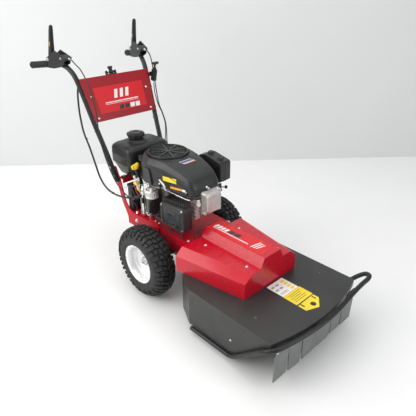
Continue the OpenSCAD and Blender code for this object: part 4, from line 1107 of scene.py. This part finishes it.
rings = []
for x, g in ((-104, -8), (-106, -3), (-110, 0), (-128, 0), (-130, 2), (-134, 2), (-136, 0),
        (-156, 0), (-162, -3), (-166, -8), (-168, -14)):
    box = [(-196 - g, 390 - g), (-18 + g, 390 - g), (-18 + g, 508 + g), (-196 - g, 522 + g)]
    rings.append([ax(x, *p) for p in soften(box, 24)])
skin(rings)
for y in (-180, -172, -46, -38):
    beam(3.2, 84, 1.5, y, 448, -169.6, -164)
rings = []
for x, half, r in ((-165, 45, 20), (-168.6, 43, 19), (-170, 40, 17), (-169, 37, 15),
        (-169.4, 34, 14), (-172.6, 31, 13), (-173.4, 26, 12), (-172.6, 21, 10), (-171, 17, 8),
        (-171.4, 9, 4)):
    rings.append([ax(x, *p) for p in round_rect(2 * half, 2 * half, r, 6, cx=-108, cy=448)])
skin(rings)
piece("muffler_form", "muffler_paint", ("muffler",), angle=30, bevel=1.2)
side_plate(((-190, 505), (-26, 497), (-26, 524), (-190, 541)), -147, -110)
for k in range(12):
    y = -182 + 13.4 * k
    top = 545.4 - 18 * (y + 190) / 164
    side_plate(((y - 3.4, 508), (y + 3.4, 508), (y + 2.8, top), (y - 2.8, top)), -150, -108)
piece("muffler_shield", "knob_plastic", bevel=1.0, segments=2)
m = along(ax(-165, -140, 426), (-1, 0, 0))
lathe([(15, 0), (15, 3), (12.6, 5), (12.6, 15), (11.0, 15.6), (9.8, 15), (9.8, 2)], m, 40)
lathe([(13.5, 0), (13.5, 56)], along(ax(-104, -96, 470), (1, 0, 0)), 32)
block(ax(-60, -112, 450), ax(-46, -80, 490))
piece("muffler_pipe", "iron", angle=40)
bolts([(-163, y, z) for y, z in ((-182, 506), (-32, 494), (-182, 404), (-32, 404))], (-1, 0, 0),
    4.2, 3.4)
piece("muffler_bolts", "zinc")

# wire guard between the muffler and the belt cover
for z in (352, 366, 380):
    wire(((-104, -206, z), (-60, -212, z), (0, -214, z), (80, -212, z)), 1.3)
for x in (-104, -78, -52, -26, 0, 26, 52, 78):
    wire([(x, -207 - 5 * (x > -70), z) for z in (342, 368, 382)], 1.2)
wire(((-150, 0, 385), (-150, -84, 386), (-150, -168, 385)), 1.4)
piece("wire_guard", "muffler_paint")

# valve cover: flange, crowned lid with a raised border, four bolts
V = place(12, -190, 512) @ spin(90, "X")
stack([(0, 112, 118, 12), (9, 112, 118, 12), (11.5, 108, 114, 11), (12.5, 98, 102, 14),
    (14, 96.5, 100.5, 14), (30, 94, 98, 14), (35, 92, 96, 14), (38, 87, 91, 12), (39, 80, 84, 10),
    (38.6, 76, 80, 9), (37.4, 74, 78, 8), (37.2, 60, 64, 6), (37.6, 30, 34, 4), (37.8, 8, 8, 2)],
    V, 7)
for i in (-1, 1):
    for j in (-1, 1):
        lathe([(10.5, 0), (10.5, 11), (9.6, 13), (9, 22), (8, 24)],
            V @ Matrix.Translation((i * 48, j * 50, 0)), 28)
piece("valve_cover_form", "cover_alloy", ("valve_cover",), angle=34)
for i in (-1, 1):
    for j in (-1, 1):
        hex_bolt(V @ Vector((i * 48, j * 50, 23)), V.to_3x3() @ Vector((0, 0, 1)), 5.4, 5)
# stud above the cover and lifting eye
lathe([(6, 0), (6, 10), (4.4, 12)], aim(ax(0, -190, 580), ax(0, -200, 583)), 24)
piece("head_bolts", "zinc", bevel=0.3, segments=2)

# spark plug and its cap beside the head
P0, P1 = ax(-62, -192, 516), ax(-70, -202, 552)
lathe([(11, -8), (11, 2), (8.4, 3), (8.4, 9), (7.4, 11), (7.8, 13), (7.2, 15), (7.6, 17),
    (7.0, 19), (6.6, 30), (4, 32)], aim(P0, P1), 28)
piece("spark_plug", "porcelain")
lathe([(5, -16), (7.5, -14), (8.5, -6), (8.5, 8), (6, 12), (4, 14)],
    aim(ax(-70, -196, 553), ax(-88, -178, 550)), 24)
piece("plug_cap", "cable_sheath", angle=40)
# cooling fins of the head's near side
for k in range(10):
    block(ax(-78 + 3 * (k % 2), -184, 434 + 11 * k), ax(-44, -112, 438.5 + 11 * k))
block(ax(-60, -178, 432), ax(-44, -116, 540))
# the fins' alloy is brightened and tinted pink: painted light and a painted red reflection
piece("head_fins", "fin_alloy_painted_light", bevel=0.8, segments=2)

# oil filter with its fluted end and head
F = place(-125, 95, 384)
lathe([(4, 0.2), (22, 0), (27, 2), (29.5, 6), (31.5, 20), (32.8, 24), (32.8, 84), (33.4, 86),
    (33.4, 91), (30, 94)], F, 60, lobes=flutes(0.018, 15, 3, 21))
piece("filter_form", "filter_paint", ("oil_filter",), angle=40)
H = place(-125, 95, 478)
lathe([(30, -1), (34.5, 0), (34.8, 6), (32, 9), (31.4, 30), (33.4, 32), (33.4, 38), (31, 42),
    (22, 45), (10, 45.5)], H, 60)
for k in range(7):
    m = H @ spin(150 + 20 * k, "Z")
    block((30, -1.6, 8), (35, 1.6, 32), m, 0.3)
post(46, 30, 6, -96, 95, 486, 516)
lathe([(9, 0), (9, 10), (6, 12), (6, 20), (4, 21)], H @ Matrix.Translation((-18, -20, 40)), 20)
piece("filter_head", "bright_alloy", angle=36)
lathe([(30.5, 380), (34, 381), (34, 386), (31, 387)], place(-125, 95, 0), 48, loop=True)
lathe([(10, 342), (10, 381)], place(-120, 122, 0), 20)
piece("filter_ring", "zinc", angle=40)

# starter motor with end caps, through bolts and its solenoid lead
S = place(-120, 174, 342)
lathe([(17, 0), (18.5, 2), (18.5, 12), (20, 13), (20, 17), (19.4, 18), (19.4, 118), (20.2, 119),
    (20.2, 134), (18, 137), (17, 150), (15, 158), (12, 161), (12, 172), (10, 174)], S, 56)
for a in (60, 180, 300):
    m = S @ spin(a, "Z")
    lathe([(2.4, 10), (2.4, 136), (4.2, 136.4), (4.2, 140)], m @ Matrix.Translation((20.6, 0, 0)),
        10)
post(30, 20, 3, -96, 174, 362, 392)
piece("starter_form", "zinc", ("starter_motor",), angle=40)
lathe([(6, 0), (7, 1), (7, 10), (4, 12), (4, 16)], aim(ax(-139, 174, 461), ax(-150, 174, 463)), 18)
lathe([(7.4, 0), (7.4, 26), (6, 28)], place(-146, 150, 430), 20)
piece("starter_terminals", "black_plastic", angle=40)

# dipstick: flexible black tube, and the yellow cap with its finger wings
A, B = Vector(ax(-90, 211, 460)), Vector(ax(-132, 212, 604))
D = (B - A).normalized()
L = (B - A).length
lathe([(10.2, 5), (12, 6), (12, 34), (11.4, 35), (11.4, 104), (12, 106), (12, L - 16),
    (14.6, L - 14), (15, L - 13), (15, L - 1), (14, L), (9, L), (7.4, L - 6), (7.2, 20)],
    aim(A, B), 36)
piece("dipstick_sleeve", "black_plastic", ("dipstick_tube",), angle=44)
across = (Vector((-1, 0, 0)) + D * D.x).normalized()
m = Matrix.Translation(A) @ Matrix((across, D.cross(across), D)).transposed().to_4x4()
lathe([(1, L - 118), (2.4, L - 117), (2.4, L + 0.4), (14, L + 0.6), (16.6, L + 1.4), (17, L + 4),
    (17, L + 15), (15.6, L + 17.4), (11, L + 18.2), (2, L + 18.4)], m, 60,
    lobes=flutes(0.03, 14, L + 3, L + 16))
stack([(L + z, 2 * x, 2 * y, 0.7 * y) for z, x, y in ((3.4, 21, 7.6), (5, 22.8, 8.8),
    (18, 22.8, 8.6), (22, 21.8, 7.4), (24, 18, 4.8))], m, 5)
piece("dipstick_cap", "yellow_plastic", ("dipstick",), body="dipstick", angle=40)

# battery box with its lid and strap
post(64, 42, 6, -112, 270, 342, 483)
post(70, 48, 7, -112, 270, 482, 494)
for k in range(4):
    post(3, 45, 1.2, -134 + 15 * k, 270, 360, 470)
piece("battery_form", "black_plastic", ("battery_box",), bevel=2.5)
post(67, 45.5, 6, -112, 270, 408, 428)
piece("battery_strap", "grey_rubber_with_painted_sheen", bevel=1.0)

# linkages, brackets, leads and connectors between the starter and the housing
wire(((-144, 318, 463), (-142, 230, 500), (-140, 139, 540)), 1.6)
wire(((-122, -10, 553), (-121, -90, 553), (-119, -168, 552), (-112, -186, 552)), 1.8)
wire(((-138, 128, 548), (-140, 60, 552), (-137, 8, 560)), 1.5)
side_plate(((12, 606), (2, 610), (-30, 594), (-44, 566), (-36, 562), (-22, 584), (4, 598)), -141,
    -138.5)
side_plate(((118, 470), (150, 470), (152, 548), (136, 556), (118, 540)), -134, -131)
side_plate(((196, 478), (230, 476), (226, 520), (208, 556), (196, 552)), -128, -125.5)
bolts([(-141, -36, 572)], (-1, 0, 0), 4, 3.5)
bolts([(-134, 128, 500), (-128, 214, 500)], (-1, 0, 0), 4.5, 4)
# extension spring of the governor
pts = [ax(-133 + 4.2 * cos(k * 0.6), -2 - 0.9 * k, 566 + 4.2 * sin(k * 0.6)) for k in range(64)]
tube(pts, 0.8, 6)
piece("linkages", "zinc", angle=40)
block(ax(-140, 212, 508), ax(-128, 236, 524))
block(ax(-144, 186, 486), ax(-134, 198, 498))
piece("lead_connector", "yellow_plastic", bevel=1.2)
lathe([(7, -1), (7, 12), (5.5, 14)], along(ax(-136, 222, 546), (-0.4, 0, 1)), 18)
piece("lead_seal", "porcelain", angle=40)
for name, mat, r, pts in (
        ("lead_red", "print_red", 2.0, ((-146, 174, 463), (-152, 190, 474), (-146, 216, 500),
                                        (-134, 240, 512), (-126, 262, 500))),
        ("lead_black", "cable_sheath", 2.4, ((-150, 176, 446), (-154, 206, 456), (-148, 240, 484),
                                             (-134, 262, 506), (-116, 270, 500))),
        ("lead_white", "porcelain", 1.8, ((-136, 222, 548), (-140, 214, 530), (-142, 200, 508),
                                          (-140, 190, 486), (-136, 176, 470)))):
    tube(route(pts), r, 10)
    piece(name, mat)


def patch(place_at, cols, rows):
    """Thin sheet through place_at(u, v, layer), with layer 0 inside and 1 outside."""
    lo, hi = [[[bm.verts.new(place_at(i / cols, j / rows, layer)) for i in range(cols + 1)]
        for j in range(rows + 1)] for layer in (0, 1)]
    for j in range(rows):
        for i in range(cols):
            bm.faces.new((hi[j][i], hi[j][i + 1], hi[j + 1][i + 1], hi[j + 1][i]))
            bm.faces.new((lo[j][i], lo[j + 1][i], lo[j + 1][i + 1], lo[j][i + 1]))
    for j in range(rows):
        bm.faces.new((lo[j][0], hi[j][0], hi[j + 1][0], lo[j + 1][0]))
        bm.faces.new((lo[j][cols], lo[j + 1][cols], hi[j + 1][cols], hi[j][cols]))
    for i in range(cols):
        bm.faces.new((lo[0][i], lo[0][i + 1], hi[0][i + 1], hi[0][i]))
        bm.faces.new((lo[rows][i], hi[rows][i], hi[rows][i + 1], lo[rows][i + 1]))


def crest_at(x, y):
    """Height of the housing's top under (x, y), by the same rule as its rings."""
    t = atan2(y - CY, x - CX)
    r0 = outline(t) - CREST_INSET
    blend = max(0.0, min(1.0, (hypot(x - CX, y - CY) - r0) / (SEAT_R - r0)))
    return crest_height(y, CY + r0 * sin(t), blend)


def side_at(y):
    """X of the housing's near side at y from the axle."""
    lo, hi = pi, pi * 1.5
    for _ in range(40):
        mid = (lo + hi) / 2
        if CY + outline(mid) * sin(mid) > y:
            lo = mid
        else:
            hi = mid
    return CX + outline(lo) * cos(lo)


def top_patch(name, mat, x0, x1, y0, y1, lift, skew, rows=6):
    """Plain film that follows the housing's sloping top."""
    def place_at(u, v, layer):
        x, y = x0 + (x1 - x0) * u + skew * v, y0 + (y1 - y0) * v
        return ax(x, y, crest_at(x, y) + lift - 0.5 * (1 - layer))
    patch(place_at, 10, rows)
    piece(name, mat)


def side_patch(name, mat, y0, y1, z0, z1, drop):
    """Plain film on the housing's near side; drop lowers its front end."""
    def place_at(u, v, layer):
        y, z = y0 + (y1 - y0) * u, z0 + (z1 - z0) * v + drop * u
        return ax(side_at(y) - 0.9 + 0.6 * (1 - layer), y, z)
    patch(place_at, 8, 4)
    piece(name, mat)


# stickers on the housing, all plain fields
top_patch("housing_badge_white", "print_pale", -36, 38, -22, -56, 0.9, 12)
top_patch("housing_badge_blue", "print_blue", -32, 36, -27, -41, 1.2, 6)
top_patch("housing_badge_red", "print_red", -26, 48, -51, -56, 1.2, 2, rows=2)
side_patch("housing_badge_yellow", "print_yellow", -2, -88, 600, 624, 4)
side_patch("housing_badge_orange", "print_orange", -48, -122, 571, 582, 4)
side_patch("housing_badge_end", "print_white", -124, -142, 574, 586, 1)

# ---- fuel tank ----


def tank_ring(z, hx, hy, r):
    return [ax(x, 352 + y, z) for x, y in round_rect(2 * hx, 2 * hy, r, 11)]


def neck(r, z, cy=384):
    """Circle whose points match a tank ring's one by one."""
    return [ax(r * cos(a), cy + r * sin(a), z)
        for a in (atan2(y, x) for x, y in round_rect(120, 116, 57, 11))]


rings = [tank_ring(*q) for q in ((516, 92, 54, 20), (516.5, 98, 60, 22), (520, 103, 65, 24),
    (552, 117, 76, 26), (583, 129, 86, 28), (586, 131, 87.4, 28), (588, 134.6, 90.6, 28),
    (592, 136, 92, 28), (634, 136, 92, 28), (635.5, 136.6, 92.6, 29), (640.5, 136.6, 92.6, 29),
    (642, 136, 92, 28), (666, 135.4, 91.4, 28), (676, 132.6, 89, 29), (684, 127, 84, 31),
    (689, 119, 77, 34), (691.6, 108, 68, 36))]
rings += [neck(*q) for q in ((66, 692, 366), (64, 694, 366), (60.5, 695.6, 366),
    (55.4, 696.2, 368), (54, 697, 368), (52.6, 699.4, 369), (42, 700.2, 376), (37.6, 700.8, 382),
    (36.4, 702), (36, 706.4), (35, 707.8), (31, 708), (29.6, 709), (29.4, 717), (27, 718.6))]
skin(rings)
piece("tank_form", "tank_plastic", ("fuel_tank",), angle=40)
# mounting ears, sight slot and outlet
for s in (-1, 1):
    post(26, 26, 6, s * 128, 336, 512, 522)
post(18, 8, 3, -100, 361, 688, 692.6)
lathe([(10, 0), (10, 5), (7, 6), (6.4, 13)], along(ax(100, 263, 600), (0, -1, 0)), 20)
piece("tank_fittings", "knob_plastic", bevel=1.2)
C = place(0, 384, 708.4)


def cap_lobes(a, h):
    return 1 + (0.088 * max(0.0, min(1.0, 0.3 + 3.2 * cos(8 * a))) if 1 < h < 20 else 0)


lathe([(31, 0.4), (41, 0.2), (44, 1.2), (45, 3.6), (45.4, 16.6), (44, 19.4), (40, 20.6),
    (37.6, 21), (36.6, 23), (34, 23.8), (14, 24), (12, 22.8), (2, 22.6)], C, 160, lobes=cap_lobes)
piece("cap_form", "tank_plastic", ("fuel_cap",), body="fuel_cap", angle=46)
for s in (-1, 1):
    bolts([(s * x, 348, 516) for x in (40, 120)], (0, 0, 1), 4.5, 4)
    bolts([(s * 128, 336, 522)], (0, 0, 1), 5, 4)
piece("shelf_bolts", "zinc")

# ---- stage, light and camera ----
CAM = Vector((-1.386, -1.085, 1.510))
HEADING = radians(-43.77)
forward = Vector((-sin(HEADING), cos(HEADING), 0))
right = Vector((cos(HEADING), sin(HEADING), 0))


def stage_sheet(name, corners, mat):
    me = bpy.data.meshes.new(name)
    me.from_pydata([tuple(c) for c in corners], [], [(0, 1, 2, 3)])
    me.materials.append(MATS[mat])
    obj = bpy.data.objects.new(name, me)
    bpy.context.scene.collection.objects.link(obj)


ground = CAM.xy.to_3d()
near_end = ground - right * 1.632 + forward * 3.737
skirting = (ground + right * 1.708 + forward * 3.948 - near_end).normalized()
w0, w1, rise = near_end - skirting * 11, near_end + skirting * 13, Vector((0, 0, 7))
stage_sheet("floor", [w0, w0 - forward * 20, w1 - forward * 20, w1], "floor")
stage_sheet("wall", [w0, w1, w1 + rise, w0 + rise], "wall")
# the room is clear from outside, so that a view from behind the wall isn't blocked
for name in ("floor", "wall"):
    nt = MATS[name].node_tree
    out = next(n for n in nt.nodes if n.type == "OUTPUT_MATERIAL")
    paint = next(n for n in nt.nodes if n.type == "BSDF_PRINCIPLED")
    mix = nt.nodes.new("ShaderNodeMixShader")
    nt.links.new(nt.nodes.new("ShaderNodeNewGeometry").outputs["Backfacing"], mix.inputs[0])
    nt.links.new(paint.outputs[0], mix.inputs[1])
    nt.links.new(nt.nodes.new("ShaderNodeBsdfTransparent").outputs[0], mix.inputs[2])
    nt.links.new(mix.outputs[0], out.inputs[0])

world = bpy.data.worlds.new("studio")
bpy.context.scene.world = world
world.use_nodes = True
bg = world.node_tree.nodes["Background"]
bg.inputs["Color"].default_value = (0.97, 0.985, 1.0, 1)
bg.inputs["Strength"].default_value = 0.40


def soft_light(name, at, target, size, watts, colour=(1, 1, 1)):
    data = bpy.data.lights.new(name, "AREA")
    data.shape = "RECTANGLE"
    data.size, data.size_y = size
    data.energy = watts
    data.color = colour
    obj = bpy.data.objects.new(name, data)
    bpy.context.scene.collection.objects.link(obj)
    obj.location = at
    obj.rotation_euler = (Vector(target) - Vector(at)).to_track_quat("-Z", "Y").to_euler()


mid = Vector((0.0, 0.35, 0.4))
soft_light("key_window", mid - right * 2.6 - forward * 1.1 + Vector((0, 0, 1.5)), mid, (3.2, 2.2),
    84, (1.0, 0.99, 0.97))
soft_light("top_panel", mid + Vector((0, 0, 3.2)), mid, (3.6, 3.6), 58)
soft_light("fill_panel", mid + right * 3.0 - forward * 1.6 + Vector((0, 0, 1.4)), mid, (2.0, 2.0),
    34)

camera = bpy.data.cameras.new("camera")
camera.lens = 39.4
camera.sensor_width = 36.0
camera.sensor_fit = "HORIZONTAL"
cam = bpy.data.objects.new("camera", camera)
bpy.context.scene.collection.objects.link(cam)
cam.location = CAM
cam.rotation_euler = (radians(62.67), 0.0, HEADING)
bpy.context.scene.camera = cam
bpy.context.scene.view_settings.view_transform = "Standard"
